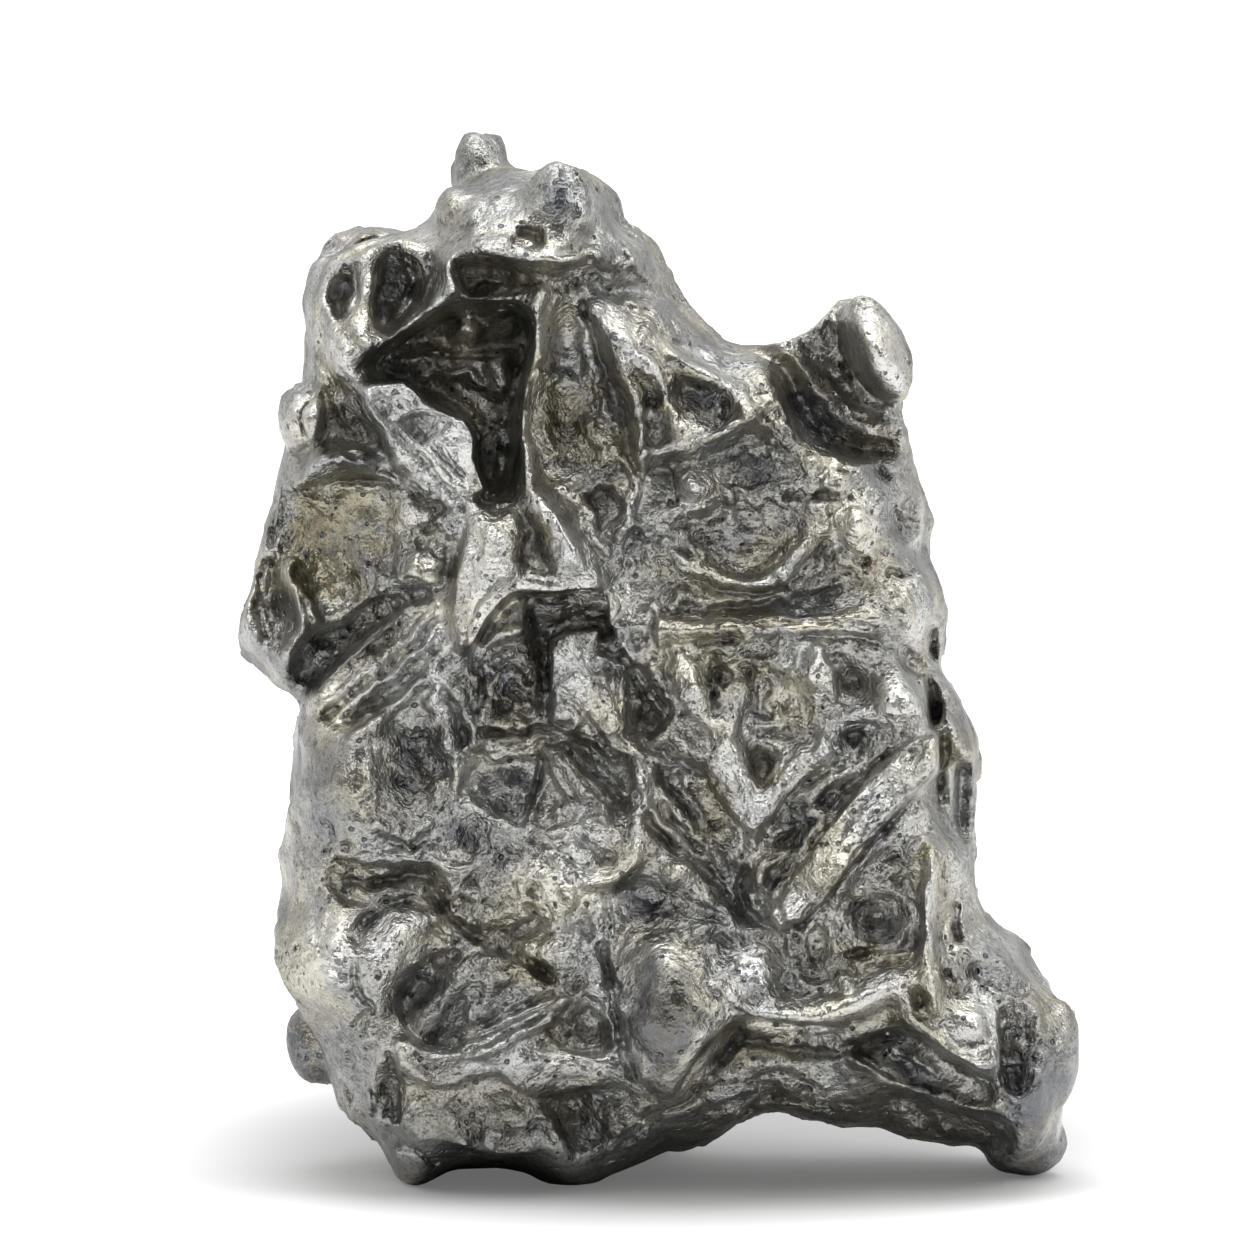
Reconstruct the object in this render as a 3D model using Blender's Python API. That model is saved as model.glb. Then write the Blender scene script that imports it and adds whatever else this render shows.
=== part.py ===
"""An iron meteorite: one lump of folded, pocketed metal that stands on worn feet.

The lump is written in its own leaning frame, in millimetres: u to the right, v up the broad
front face, w out of that face. LEAN tips that frame back, so that the feet stand on z = 0.
The solid is an outline filled with a front and a back sheet, whose depths carry the folds and
pockets, with egg-shaped lobes set in it. A voxel remesh joins them, and the result is thinned.
"""

import itertools
import math

import bmesh
import bpy
import numpy as np
from mathutils import Euler, Matrix, Vector
from mathutils.geometry import delaunay_2d_cdt

MM = 0.001
LEAN = math.radians(8.0)  # the broad face leans back by this much when the lump stands
PITCH = 0.4  # spacing of the points that the surface is first made with
TRIANGLES = 9300
FOOT_CUT = 0.35  # how much of the lowest foot is worn flat

RIM_PLANE = -3.0  # depth at which the outline lies, away from the places in RIM_SHIFTS
FRONT_ROUNDING = 4.0  # the front rounds over to the outline within this distance of it
BACK_ROUNDING = 8.5  # and the back within this distance
FRONT = 5.5  # depth of the front surface before its forms are added
TALLEST = 3.6  # forms that overlap build up to no more than this over the front
BACK = -12.0  # depth of the back surface before its forms are added
LOWEST, HIGHEST = (-24.0, -2.5, -18.0), (24.0, 56.0, 17.0)

# The edge of the lump seen square to its broad face, clockwise from the top of the crown.
OUTLINE = [
    (-4.9, 51.5), (-4.0, 51.3), (-2.6, 50.4), (-1.8, 49.7), (-1.65, 49.1), (-1.8, 48.7),
    (-1.3, 48.2), (-0.4, 47.8), (0.1, 47.3), (0.6, 46.0), (1.1, 45.0), (2.0, 44.0), (2.6, 43.5),
    (3.1, 42.9), (3.9, 42.4), (5.2, 42.5), (6.3, 42.8), (7.2, 43.15), (8.3, 43.8), (9.0, 44.5),
    (9.7, 44.85), (10.4, 44.6), (11.3, 43.8), (12.0, 42.8), (12.4, 41.5), (12.35, 40.5),
    (12.75, 39.0), (13.05, 37.4), (13.45, 35.7), (13.85, 34.2), (13.95, 33.2), (13.75, 32.6),
    (13.35, 32.2), (13.75, 31.6), (14.25, 30.6), (14.45, 29.4), (14.45, 27.3), (14.1, 26.0),
    (14.8, 25.4), (15.4, 24.2), (15.75, 23.1), (16.25, 22.2), (16.35, 21.4), (16.05, 20.1),
    (16.2, 18.4), (16.35, 16.5), (16.4, 15.0), (16.7, 13.8), (17.8, 13.2), (18.5, 12.4),
    (18.9, 11.3), (20.0, 10.0), (20.9, 9.0), (21.3, 7.9), (21.3, 6.7), (20.9, 5.2), (20.7, 3.6),
    (20.4, 2.4), (19.5, 1.4), (18.3, 0.75), (17.5, 0.65), (16.8, 1.0), (16.5, 1.6), (16.2, 2.05),
    (14.5, 2.1), (12.2, 2.45), (10.8, 3.05), (9.0, 2.95), (6.8, 3.3), (5.5, 3.65), (4.5, 3.3),
    (3.2, 2.45), (1.5, 1.85), (0.4, 1.85), (-0.7, 1.25), (-2.5, 0.6), (-4.2, 0.0), (-5.0, 0.1),
    (-6.5, 0.75), (-7.8, 1.0), (-10.2, 0.95), (-11.0, 0.6), (-11.8, 0.0), (-12.8, 0.4),
    (-13.4, 1.1), (-13.8, 2.0), (-15.1, 3.1), (-16.1, 3.8), (-16.4, 5.0), (-16.9, 7.0),
    (-18.5, 9.1), (-19.2, 10.3), (-19.55, 11.5), (-19.3, 13.0), (-18.95, 14.4), (-19.1, 16.5),
    (-18.75, 18.0), (-18.9, 19.4), (-18.7, 21.5), (-18.6, 23.2), (-18.1, 24.4), (-17.75, 24.6),
    (-17.85, 24.95), (-18.45, 24.55), (-19.1, 24.9), (-20.0, 26.0), (-20.9, 26.6), (-21.3, 27.7),
    (-21.1, 29.4), (-20.65, 31.5), (-20.2, 33.3), (-19.6, 35.5), (-19.1, 37.2), (-18.8, 38.8),
    (-18.4, 39.7), (-17.85, 40.1), (-17.7, 42.5), (-17.75, 44.3), (-17.3, 45.5), (-16.9, 46.6),
    (-16.2, 47.2), (-14.9, 47.7), (-13.0, 48.1), (-11.6, 48.3), (-11.2, 49.2), (-10.5, 49.9),
    (-9.6, 50.5), (-8.6, 51.0), (-7.3, 51.3), (-6.0, 51.05), (-5.5, 51.35),
]

# Places where the outline lies nearer or deeper than RIM_PLANE: u, v, reach, shift.
RIM_SHIFTS = [
    ("right foot", 18.0, 2.5, 5.0, -2.2),
    ("left foot", -12.0, 1.0, 3.0, 1.4),
    ("middle foot", -4.4, 0.5, 3.5, 1.4),
    ("horn", 11.0, 43.0, 4.0, 1.8),
    ("left flank", -20.0, 30.0, 7.0, -0.8),
    ("crown", -5.0, 51.0, 4.0, 1.0),
]

# Rounded swellings (lift above 0) and hollows (below 0) of the front: u, v, half sizes, turn, lift.
FRONT_BOSSES = [
    ("crown", -5.5, 48.8, 6.5, 4.4, 0, 2.0),
    ("crown knob", -4.9, 49.7, 1.4, 2.0, 0, 1.8),
    ("crown cheek", -9.8, 48.8, 2.4, 2.3, 0, 1.2),
    ("crown shoulder", -1.6, 47.3, 2.4, 1.8, -30, 1.0),
    ("left flank set back", -18.5, 31.5, 6.5, 10.0, 0, -3.2),
    ("flank knuckle", -17.9, 38.8, 1.3, 1.7, 0, 3.0),
    ("flank dent", -15.2, 37.9, 2.1, 1.5, -35, -2.2),
    ("hood", -6.2, 31.4, 5.4, 4.6, 0, 3.2),
    ("hood right cheek", -4.3, 32.0, 1.5, 2.4, 25, 0.8),
    ("rubble by the hood", -12.1, 30.9, 1.5, 1.3, 0, 1.3),
    ("rubble above it", -10.3, 33.3, 1.3, 1.0, 0, 1.0),
    ("chunk under the hood", -7.8, 24.8, 1.6, 1.8, 0, 2.6),
    ("cheek", -15.8, 20.5, 4.6, 5.6, 0, 2.2),
    ("cheek dimple", -12.4, 21.3, 2.2, 3.2, -12, -2.4),
    ("lower cheek dimple", -9.4, 17.6, 1.8, 1.7, 0, -1.6),
    ("crack mouth", -15.3, 15.3, 1.0, 1.0, 0, -2.4),
    ("lower left lump", -15.4, 11.3, 4.8, 4.2, 0, 2.4),
    ("lump above the lens", -12.6, 13.4, 1.8, 1.3, 20, 1.0),
    ("lump dent", -14.7, 13.2, 1.0, 1.6, -35, -1.3),
    ("tongue", 0.8, 9.4, 4.0, 5.4, 0, 4.6),
    ("tongue shoulder", 4.6, 10.6, 1.8, 2.2, -20, 1.6),
    ("hollow beside the tongue", -3.3, 7.9, 1.7, 1.1, 0, -2.4),
    ("step of the left foot", -14.7, 5.4, 2.0, 2.2, 0, -2.0),
    ("rubble middle", -5.0, 15.6, 2.8, 2.6, 0, 1.0),
    ("rubble low", -4.6, 11.8, 1.8, 2.0, 0, 1.2),
    ("dent over the tongue", -0.6, 14.4, 1.6, 1.2, -10, -1.6),
    ("lobe over the tongue", 1.0, 15.9, 1.7, 1.8, 0, 1.2),
    ("valley right of the tongue", 7.2, 11.8, 1.6, 1.8, 0, -1.0),
    ("hollow behind the blade", 11.1, 13.6, 2.5, 2.2, 0, -2.8),
    ("pit by the right foot", 16.3, 10.7, 1.3, 1.1, 0, -1.6),
    ("chunk by the right foot", 15.5, 8.2, 1.9, 1.7, -40, 1.6),
    ("chunk tip", 16.5, 6.4, 1.1, 1.4, 10, 1.8),
    ("right foot dent", 19.4, 7.6, 1.0, 0.9, 0, -1.2),
    ("right knob", 12.3, 24.4, 1.7, 2.1, 0, 2.0),
    ("slot left of the knob", 9.8, 25.4, 0.9, 1.8, 32, -2.6),
    ("lump left of the slot", 7.8, 25.6, 1.3, 1.7, 0, 1.2),
    ("dimple below it", 6.5, 24.5, 1.5, 1.3, 20, -1.3),
    ("long lump", 1.9, 24.9, 1.4, 2.2, 15, 1.3),
    ("dimple under the knob", 10.1, 22.3, 1.5, 1.3, 0, -1.4),
    ("dimple between the arms", 5.3, 21.0, 1.0, 1.7, 18, -1.4),
    ("dimple in the middle", 3.2, 25.2, 0.9, 1.6, 15, -1.0),
    ("basin", 4.0, 32.4, 5.2, 2.4, 0, -2.0),
    ("upper bowl", 4.9, 36.0, 2.0, 1.8, 0, -1.8),
    ("bump beside it", 1.9, 35.1, 1.5, 1.3, -15, 1.5),
    ("right lobe", 9.9, 33.2, 1.4, 1.9, 0, 1.8),
    ("right pocket", 12.4, 33.5, 1.4, 1.3, 0, -2.6),
    ("right flank", 13.0, 29.2, 1.8, 3.0, 0, 0.8),
    ("hollow of the fan", 2.2, 39.4, 1.9, 1.1, -15, -1.8),
    ("lower hollow of the fan", 0.1, 38.3, 0.9, 1.6, 10, -1.6),
    ("bright heel of the fan", 2.3, 37.9, 1.4, 0.9, 15, 0.8),
    ("panel", -4.3, 40.0, 1.9, 5.2, 5, -1.6),
    ("low panel", -3.2, 35.6, 1.6, 1.6, 0, -1.2),
]

# Ridges (lift above 0) and grooves (below 0) of the front: half width, lift, points.
FRONT_FOLDS = [
    ("brow", 1.1, 1.8, [(-10.6, 46.5), (-8.6, 46.9), (-6.4, 46.5), (-4.6, 46.5), (-2.6, 47.0)]),
    ("socket under the brow", 0.9, -3.2, [(-9.6, 45.3), (-8.2, 45.2), (-7.2, 45.4)]),
    ("groove under the brow", 0.7, -2.2, [(-6.6, 45.6), (-4.6, 45.5), (-2.6, 45.2), (0.6, 45.0)]),
    ("ear rim", 1.4, 1.4,
     [(-12.2, 47.5), (-14.6, 47.2), (-16.3, 46.1), (-17.0, 44.3), (-16.4, 42.6), (-14.9, 41.4)]),
    ("ear blade", 0.8, 2.6, [(-14.5, 46.8), (-14.6, 45.0), (-14.7, 43.2)]),
    ("strap", 0.9, 2.4,
     [(-13.8, 42.1), (-12.2, 42.9), (-11.0, 43.9), (-10.3, 45.0), (-10.4, 46.2)]),
    ("socket rim", 0.7, 2.6, [(-10.2, 44.9), (-9.1, 44.5), (-7.9, 44.3), (-6.8, 44.7)]),
    ("cavern bump", 1.0, 2.0, [(-9.8, 43.4), (-9.7, 42.4)]),
    ("cavern sill", 0.8, 1.4, [(-12.6, 41.0), (-10.8, 41.3), (-8.2, 40.7)]),
    ("panel left crest", 0.9, 1.8,
     [(-5.8, 44.8), (-6.1, 42.6), (-6.3, 41.2), (-7.0, 39.6), (-7.0, 38.0), (-6.5, 36.4),
      (-6.5, 35.2)]),
    ("panel right crest", 0.9, 1.6,
     [(-3.3, 44.0), (-2.4, 42.2), (-1.6, 40.8), (-1.0, 39.2), (-0.8, 37.4), (-1.0, 36.0)]),
    ("slit by the crest", 0.6, -1.6, [(-3.0, 42.0), (-2.5, 40.0), (-1.9, 38.0), (-1.3, 36.2)]),
    ("fan ridge", 0.9, 1.2, [(-1.4, 43.0), (0.6, 41.9), (2.4, 40.6), (4.2, 39.7)]),
    ("fan inner ridge", 0.7, 1.4, [(-1.8, 42.6), (-0.4, 41.2), (0.2, 39.9), (1.0, 38.1)]),
    ("fan ledge", 0.8, 1.2, [(-0.9, 36.6), (1.0, 36.9), (2.8, 37.1), (4.0, 38.1), (5.0, 39.0)]),
    ("groove under the ledge", 0.7, -1.2, [(-0.4, 36.0), (1.4, 36.3), (3.0, 36.7), (4.3, 37.4)]),
    ("saddle lip", 1.1, 1.2, [(2.6, 43.0), (4.4, 41.8), (6.0, 40.7), (6.8, 39.5), (7.6, 38.2)]),
    ("flank crest", 0.8, 1.6, [(-18.4, 35.3), (-17.2, 36.1), (-15.4, 36.8), (-13.8, 36.2)]),
    ("flank band", 0.8, 1.6, [(-18.4, 31.2), (-17.9, 29.6), (-17.5, 28.3), (-18.7, 26.5)]),
    ("fibrous slab", 1.6, 1.6, [(-14.0, 39.6), (-12.2, 37.8), (-10.8, 36.0), (-9.6, 34.8)]),
    ("hood valley", 1.2, -1.4, [(-7.2, 34.2), (-6.8, 32.4), (-6.5, 31.0)]),
    ("hood left limb", 1.4, 1.0, [(-8.5, 33.0), (-9.0, 30.6), (-9.3, 28.6), (-9.8, 26.9)]),
    ("hood right crest", 0.7, 1.2, [(-5.6, 34.4), (-4.5, 32.8), (-3.8, 31.4), (-3.3, 30.3)]),
    ("striated slope", 1.5, 1.4, [(-17.4, 23.8), (-14.6, 25.3), (-12.3, 27.3), (-10.9, 28.8)]),
    ("slope lower edge", 0.8, 1.0, [(-14.8, 22.8), (-13.0, 24.2), (-11.4, 26.2)]),
    ("strut right of the chunk", 1.0, 1.6, [(-4.4, 27.6), (-4.2, 25.6), (-4.0, 24.0)]),
    ("strut", 1.2, 1.4, [(-2.4, 26.4), (-2.4, 24.0), (-2.2, 21.8)]),
    ("groove right of the strut", 0.8, -2.0, [(-1.2, 25.6), (-0.6, 24.2), (-0.3, 22.8)]),
    ("diagonal beam", 0.9, 1.4, [(-5.0, 21.8), (-4.0, 20.2), (-2.9, 19.2)]),
    ("diagonal groove", 0.8, -1.8, [(-4.4, 22.2), (-3.1, 21.0), (-1.9, 19.8), (-1.3, 19.0)]),
    ("spine", 0.8, 1.2, [(-1.0, 22.0), (-0.6, 20.0), (-0.6, 17.6), (-1.4, 16.0), (-3.0, 15.3)]),
    ("long crack", 0.8, -2.2,
     [(-16.2, 15.9), (-15.0, 15.3), (-13.4, 15.4), (-11.6, 15.2), (-10.4, 13.7), (-9.0, 12.7)]),
    ("crack right end", 0.8, -1.8, [(-8.4, 12.6), (-7.2, 12.8), (-6.2, 13.3)]),
    ("lens lower lip", 1.0, 2.0,
     [(-12.6, 7.4), (-11.2, 6.5), (-9.3, 6.9), (-7.5, 7.8), (-6.0, 8.8), (-4.8, 9.4)]),
    ("lens inner fold", 0.8, 2.0, [(-11.8, 8.3), (-10.9, 9.8), (-9.2, 11.3)]),
    ("lens second fold", 0.7, 1.2, [(-9.6, 7.9), (-9.0, 9.9)]),
    ("tongue keel", 2.0, 1.8, [(0.2, 11.4), (0.5, 8.4), (0.7, 5.8)]),
    ("ledge over the foot", 1.3, 1.6,
     [(-13.0, 6.2), (-11.0, 5.5), (-8.6, 6.2), (-5.8, 6.5), (-3.4, 6.2), (-1.2, 5.7)]),
    ("groove over the foot", 0.8, -2.2,
     [(-12.6, 5.2), (-11.0, 4.7), (-9.2, 5.0), (-7.0, 4.6), (-4.0, 4.9), (-1.6, 4.9)]),
    ("bottom band", 1.7, 1.0, [(-12.6, 3.2), (-9.8, 3.2), (-6.5, 2.7), (-4.4, 1.6)]),
    ("groove under the arch", 0.9, -2.4,
     [(1.6, 5.0), (2.8, 6.6), (4.2, 7.9), (6.4, 7.6), (8.8, 7.2)]),
    ("arch", 1.4, 2.0, [(5.0, 9.0), (7.4, 8.8), (9.6, 9.4), (11.4, 10.2), (13.0, 10.5)]),
    ("crest of the right shelf", 0.7, 2.0,
     [(8.8, 6.8), (10.8, 6.3), (12.2, 5.5), (14.4, 4.8), (16.2, 4.1)]),
    ("cord over the shelf", 0.8, 1.8,
     [(12.4, 9.2), (12.7, 8.1), (13.9, 7.2), (14.9, 6.4), (16.2, 6.0)]),
    ("right foot groove", 0.8, -3.0, [(17.8, 10.0), (18.1, 8.6), (17.9, 7.0), (17.9, 5.3)]),
    ("right foot back", 1.6, 1.6, [(18.6, 11.0), (19.9, 9.0), (20.0, 6.8), (19.4, 4.6)]),
    ("blade", 0.9, 2.0, [(14.0, 16.8), (13.5, 14.4), (13.5, 12.0), (13.7, 10.2), (13.8, 9.2)]),
    ("long beam", 1.2, 2.6, [(13.0, 21.8), (11.4, 20.4), (9.5, 18.2), (7.6, 15.9), (6.3, 14.1)]),
    ("pocket left of the beam", 1.0, -2.4, [(8.6, 19.6), (7.2, 18.2), (6.2, 17.6)]),
    ("right arm", 1.0, 1.8, [(8.0, 21.8), (6.5, 20.4), (5.0, 18.8), (4.7, 17.8)]),
    ("left arm", 0.8, 1.2, [(3.4, 22.8), (4.0, 21.2), (4.4, 19.4)]),
    ("cleft", 0.8, -2.0, [(-0.5, 19.0), (0.7, 17.8), (2.1, 16.7), (3.4, 15.6), (4.8, 14.0)]),
    ("bands", 1.2, 1.4, [(0.6, 28.0), (4.6, 28.0), (9.0, 28.4), (12.6, 28.6)]),
    ("groove over the bands", 0.7, -1.4, [(0.8, 29.0), (4.0, 29.0), (7.4, 29.5), (9.6, 29.9)]),
    ("basin lip", 0.8, 1.3, [(-0.6, 32.2), (2.0, 31.4), (4.4, 30.2), (6.2, 30.8), (7.6, 32.2)]),
    ("slot right of the knob", 0.6, -2.4, [(13.8, 25.6), (13.9, 24.2), (13.8, 23.2)]),
    ("notch groove", 0.7, -2.0, [(12.6, 26.5), (13.6, 26.2), (14.4, 26.0)]),
]

# Floors pressed in or stood out with a plain edge: lift, edge width, corners.
FRONT_FLOORS = [
    ("ear hollow", -3.4, 0.9,
     [(-16.4, 45.0), (-15.2, 46.6), (-13.2, 47.0), (-11.8, 46.0), (-12.2, 44.2), (-13.7, 42.3),
      (-15.8, 43.4)]),
    ("cavern", -7.0, 1.3,
     [(-13.8, 41.9), (-10.8, 43.6), (-7.2, 44.1), (-6.4, 43.0), (-6.6, 41.3), (-7.4, 39.4),
      (-7.6, 37.0), (-8.2, 34.6), (-9.0, 35.2), (-9.0, 37.4), (-10.0, 39.0), (-12.2, 40.3),
      (-14.8, 40.4)]),
    ("flank floor", -1.2, 0.7,
     [(-19.3, 34.6), (-16.0, 35.0), (-13.4, 35.4), (-12.9, 33.0), (-13.6, 30.4), (-14.6, 29.2),
      (-16.8, 28.2), (-17.6, 30.0), (-19.1, 32.2)]),
    ("flank lens", -2.6, 0.6,
     [(-19.9, 31.8), (-19.0, 31.2), (-18.8, 29.6), (-18.2, 28.2), (-18.7, 26.9), (-19.6, 27.4),
      (-20.1, 28.8)]),
    ("cleft below the flank", -4.2, 0.8,
     [(-18.4, 24.7), (-17.6, 27.2), (-16.0, 28.1), (-14.6, 29.2), (-12.8, 29.9), (-11.4, 29.9),
      (-12.6, 28.7), (-14.2, 27.2), (-15.9, 25.7), (-17.4, 24.4)]),
    ("hood front", 1.6, 0.7,
     [(-9.9, 30.0), (-9.6, 32.0), (-8.5, 33.6), (-6.4, 34.6), (-5.0, 34.3), (-3.6, 32.2),
      (-3.0, 30.1), (-6.5, 29.9), (-7.8, 29.2), (-8.8, 28.0), (-9.4, 26.5), (-10.3, 26.5)]),
    ("hollow under the hood", -5.6, 0.6,
     [(-8.9, 27.9), (-7.6, 29.1), (-6.2, 29.8), (-2.9, 29.8), (-2.5, 28.1), (-3.6, 27.7),
      (-5.2, 27.2), (-5.3, 23.6), (-5.0, 22.6), (-7.4, 22.6), (-8.9, 23.4), (-8.6, 25.6),
      (-9.3, 26.6)]),
    ("square floor", -1.5, 0.5,
     [(-9.6, 21.8), (-5.8, 22.0), (-5.9, 20.0), (-6.6, 18.4), (-7.6, 18.0), (-9.8, 19.4)]),
    ("lens", -3.2, 0.8,
     [(-12.2, 8.0), (-12.7, 9.6), (-11.8, 10.9), (-9.8, 11.8), (-7.6, 12.0), (-5.6, 10.8),
      (-5.0, 9.9), (-7.0, 9.2), (-9.2, 8.0), (-10.8, 7.4)]),
    ("window in the foot", -2.8, 0.6,
     [(-5.3, 4.3), (-4.2, 4.7), (-2.9, 4.5), (-2.4, 2.4), (-3.6, 1.6), (-4.4, 1.7), (-4.9, 2.9)]),
    ("right shelf", -4.0, 0.8,
     [(9.8, 7.1), (11.8, 8.0), (12.7, 7.8), (14.0, 6.8), (15.6, 6.0), (17.0, 4.9), (16.0, 4.2),
      (13.6, 4.9), (12.4, 5.3), (11.2, 6.2)]),
    ("right undercut", -3.0, 0.9,
     [(11.3, 4.8), (13.0, 4.6), (15.6, 4.0), (17.8, 2.8), (17.4, 2.0), (16.2, 1.6), (12.0, 2.2),
      (11.0, 3.2)]),
    ("right flank slot", -3.0, 0.6,
     [(14.2, 22.9), (15.0, 22.2), (15.2, 20.6), (15.7, 19.0), (15.5, 17.2), (14.8, 17.2),
      (13.9, 19.0), (13.9, 21.0)]),
    ("dark floor", -2.2, 0.5,
     [(0.0, 20.9), (1.4, 21.2), (2.8, 20.3), (3.5, 18.8), (4.2, 17.6), (3.6, 16.8), (2.3, 17.2),
      (0.8, 18.9)]),
    ("saddle", -7.0, 1.5,
     [(6.9, 41.6), (7.4, 43.0), (8.8, 43.8), (9.4, 42.4), (10.0, 40.8), (10.3, 39.9), (11.6, 38.9),
      (12.3, 38.2), (11.8, 37.2), (10.2, 37.0), (8.4, 37.4), (7.0, 39.0)]),
]

# Deep parts of the back, where the metal was scooped out, and the swellings between them.
BACK_BOSSES = [
    ("upper scoop", -8.0, 43.5, 6.0, 5.0, 20, 4.2),
    ("middle scoop", 5.5, 33.0, 6.5, 5.5, -15, 4.4),
    ("left scoop", -13.0, 30.5, 5.5, 5.0, 10, 3.6),
    ("small scoop", -3.5, 24.0, 4.2, 3.6, 0, 3.0),
    ("lower scoop", 9.5, 17.5, 5.5, 5.0, 30, 3.8),
    ("left lower scoop", -13.5, 15.0, 4.8, 5.0, -20, 3.0),
    ("right scoop", 17.0, 7.5, 3.6, 3.6, 0, 2.4),
    ("saddle scoop", 6.0, 41.0, 5.0, 3.0, 20, 2.6),
    ("heel swelling", -5.0, 7.0, 8.0, 6.5, 0, -3.2),
    ("spine swelling", 1.0, 40.0, 2.6, 6.0, 25, -1.8),
    ("belly swelling", -5.0, 17.0, 5.5, 4.0, 35, -1.6),
    ("flank swelling", 12.5, 26.0, 2.8, 5.0, -10, -1.4),
    ("crown thinning", -5.0, 49.0, 8.0, 4.5, 0, 4.0),
    ("top left thinning", -14.5, 45.0, 4.5, 5.0, 0, 3.6),
    ("horn thinning", 10.5, 41.5, 4.5, 5.0, 0, 4.5),
    ("left thinning", -19.5, 30.0, 4.5, 8.0, 0, 2.6),
]

# Lobes that stand clear of the outlined body: centre, half sizes, turn about w.
LOBES = [
    ("rear ear", (-8.9, 51.3, -5.0), (1.55, 2.1, 1.8), 5),
    ("rear ear root", (-8.6, 49.2, -4.6), (1.9, 2.2, 2.2), 0),
    ("rear lower lobe", (-16.7, 7.6, -7.0), (1.75, 2.5, 2.8), 12),
    ("rear lower lobe root", (-14.6, 9.4, -6.5), (3.0, 3.2, 3.4), 0),
    ("horn", (10.9, 41.8, 2.6), (1.7, 3.2, 4.8), 26),
    ("left foot", (-12.15, 1.35, -1.6), (1.3, 1.35, 2.0), 0),
    ("middle foot", (-4.4, 1.5, -1.4), (2.4, 1.5, 2.6), 0),
    ("right foot", (18.1, 2.25, -5.4), (1.9, 1.75, 3.0), 25),
    ("left heel", (-8.2, 4.1, -10.2), (3.4, 2.9, 4.0), 0),
    ("right heel", (-1.6, 4.25, -11.0), (3.2, 2.9, 4.2), 0),
]

SCOOP_CELLS = 90  # thumb-sized hollows spread over the sides and back
SCOOP_DEPTH = 1.1
SCOOP_EDGE = 2.4  # how far from a crest between two hollows the floor levels out
FRONT_SHARE = 0.3  # the front has its own forms, so the spread hollows are fainter there
SEED = 11


def bell(ratio):
    """1 at ratio 0, falling smoothly to 0 at ratio 1 and beyond."""
    return np.clip(1.0 - ratio**2, 0.0, None) ** 2


def ramp(value):
    """0 below 0 and 1 above 1, with a smooth rise between."""
    t = np.clip(value, 0.0, 1.0)
    return t * t * (3.0 - 2.0 * t)


def line_distance(u, v, points):
    """Distance from each (u, v) to an open line of points."""
    nearest = np.full(u.shape, np.inf)
    for (u0, v0), (u1, v1) in itertools.pairwise(points):
        du, dv = u1 - u0, v1 - v0
        along = np.clip(((u - u0) * du + (v - v0) * dv) / (du * du + dv * dv), 0.0, 1.0)
        nearest = np.minimum(nearest, np.hypot(u - u0 - along * du, v - v0 - along * dv))
    return nearest


def depth_inside(u, v, corners):
    """Distance to the edge of a closed outline, above 0 inside it and below 0 outside."""
    inside = np.zeros(u.shape, bool)
    closed = corners + corners[:1]
    for (u0, v0), (u1, v1) in itertools.pairwise(closed):
        spans = (v0 > v) != (v1 > v)
        if v1 != v0:
            inside ^= spans & (u < u0 + (v - v0) * (u1 - u0) / (v1 - v0))
    distance = line_distance(u, v, closed)
    return np.where(inside, distance, -distance)


def oval_ratio(u, v, centre_u, centre_v, half_u, half_v, turn):
    """How far (u, v) is from the centre of a turned oval, 1 being its edge."""
    c, s = math.cos(math.radians(turn)), math.sin(math.radians(turn))
    across, up = u - centre_u, v - centre_v
    return np.hypot((across * c + up * s) / half_u, (up * c - across * s) / half_v)


def front_surface(u, v):
    """Depth of the front before it rounds over to the outline."""
    raised = np.zeros(u.shape)
    for _, cu, cv, half_u, half_v, turn, lift in FRONT_BOSSES:
        raised += lift * bell(oval_ratio(u, v, cu, cv, half_u, half_v, turn))
    for _, half_width, lift, points in FRONT_FOLDS:
        raised += lift * bell(line_distance(u, v, points) / half_width)
    for _, lift, edge, corners in FRONT_FLOORS:
        raised += lift * ramp(0.5 + depth_inside(u, v, corners) / edge)
    return FRONT + np.where(raised > 0.0, TALLEST * np.tanh(raised / TALLEST), raised)


def back_surface(u, v):
    """Depth of the back before it rounds over to the outline."""
    depth = np.full(u.shape, BACK)
    for _, cu, cv, half_u, half_v, turn, lift in BACK_BOSSES:
        depth += lift * bell(oval_ratio(u, v, cu, cv, half_u, half_v, turn))
    return depth


def rim_plane(u, v):
    """Depth at which the outline lies."""
    depth = np.full(u.shape, RIM_PLANE)
    for _, cu, cv, reach, shift in RIM_SHIFTS:
        depth += shift * bell(np.hypot(u - cu, v - cv) / reach)
    return depth


def swell(inset, rounding):
    """Share of the full depth that a sheet has this far in from the outline."""
    return np.sqrt(1.0 - (1.0 - np.clip(inset / rounding, 0.0, 1.0)) ** 2)


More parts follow.
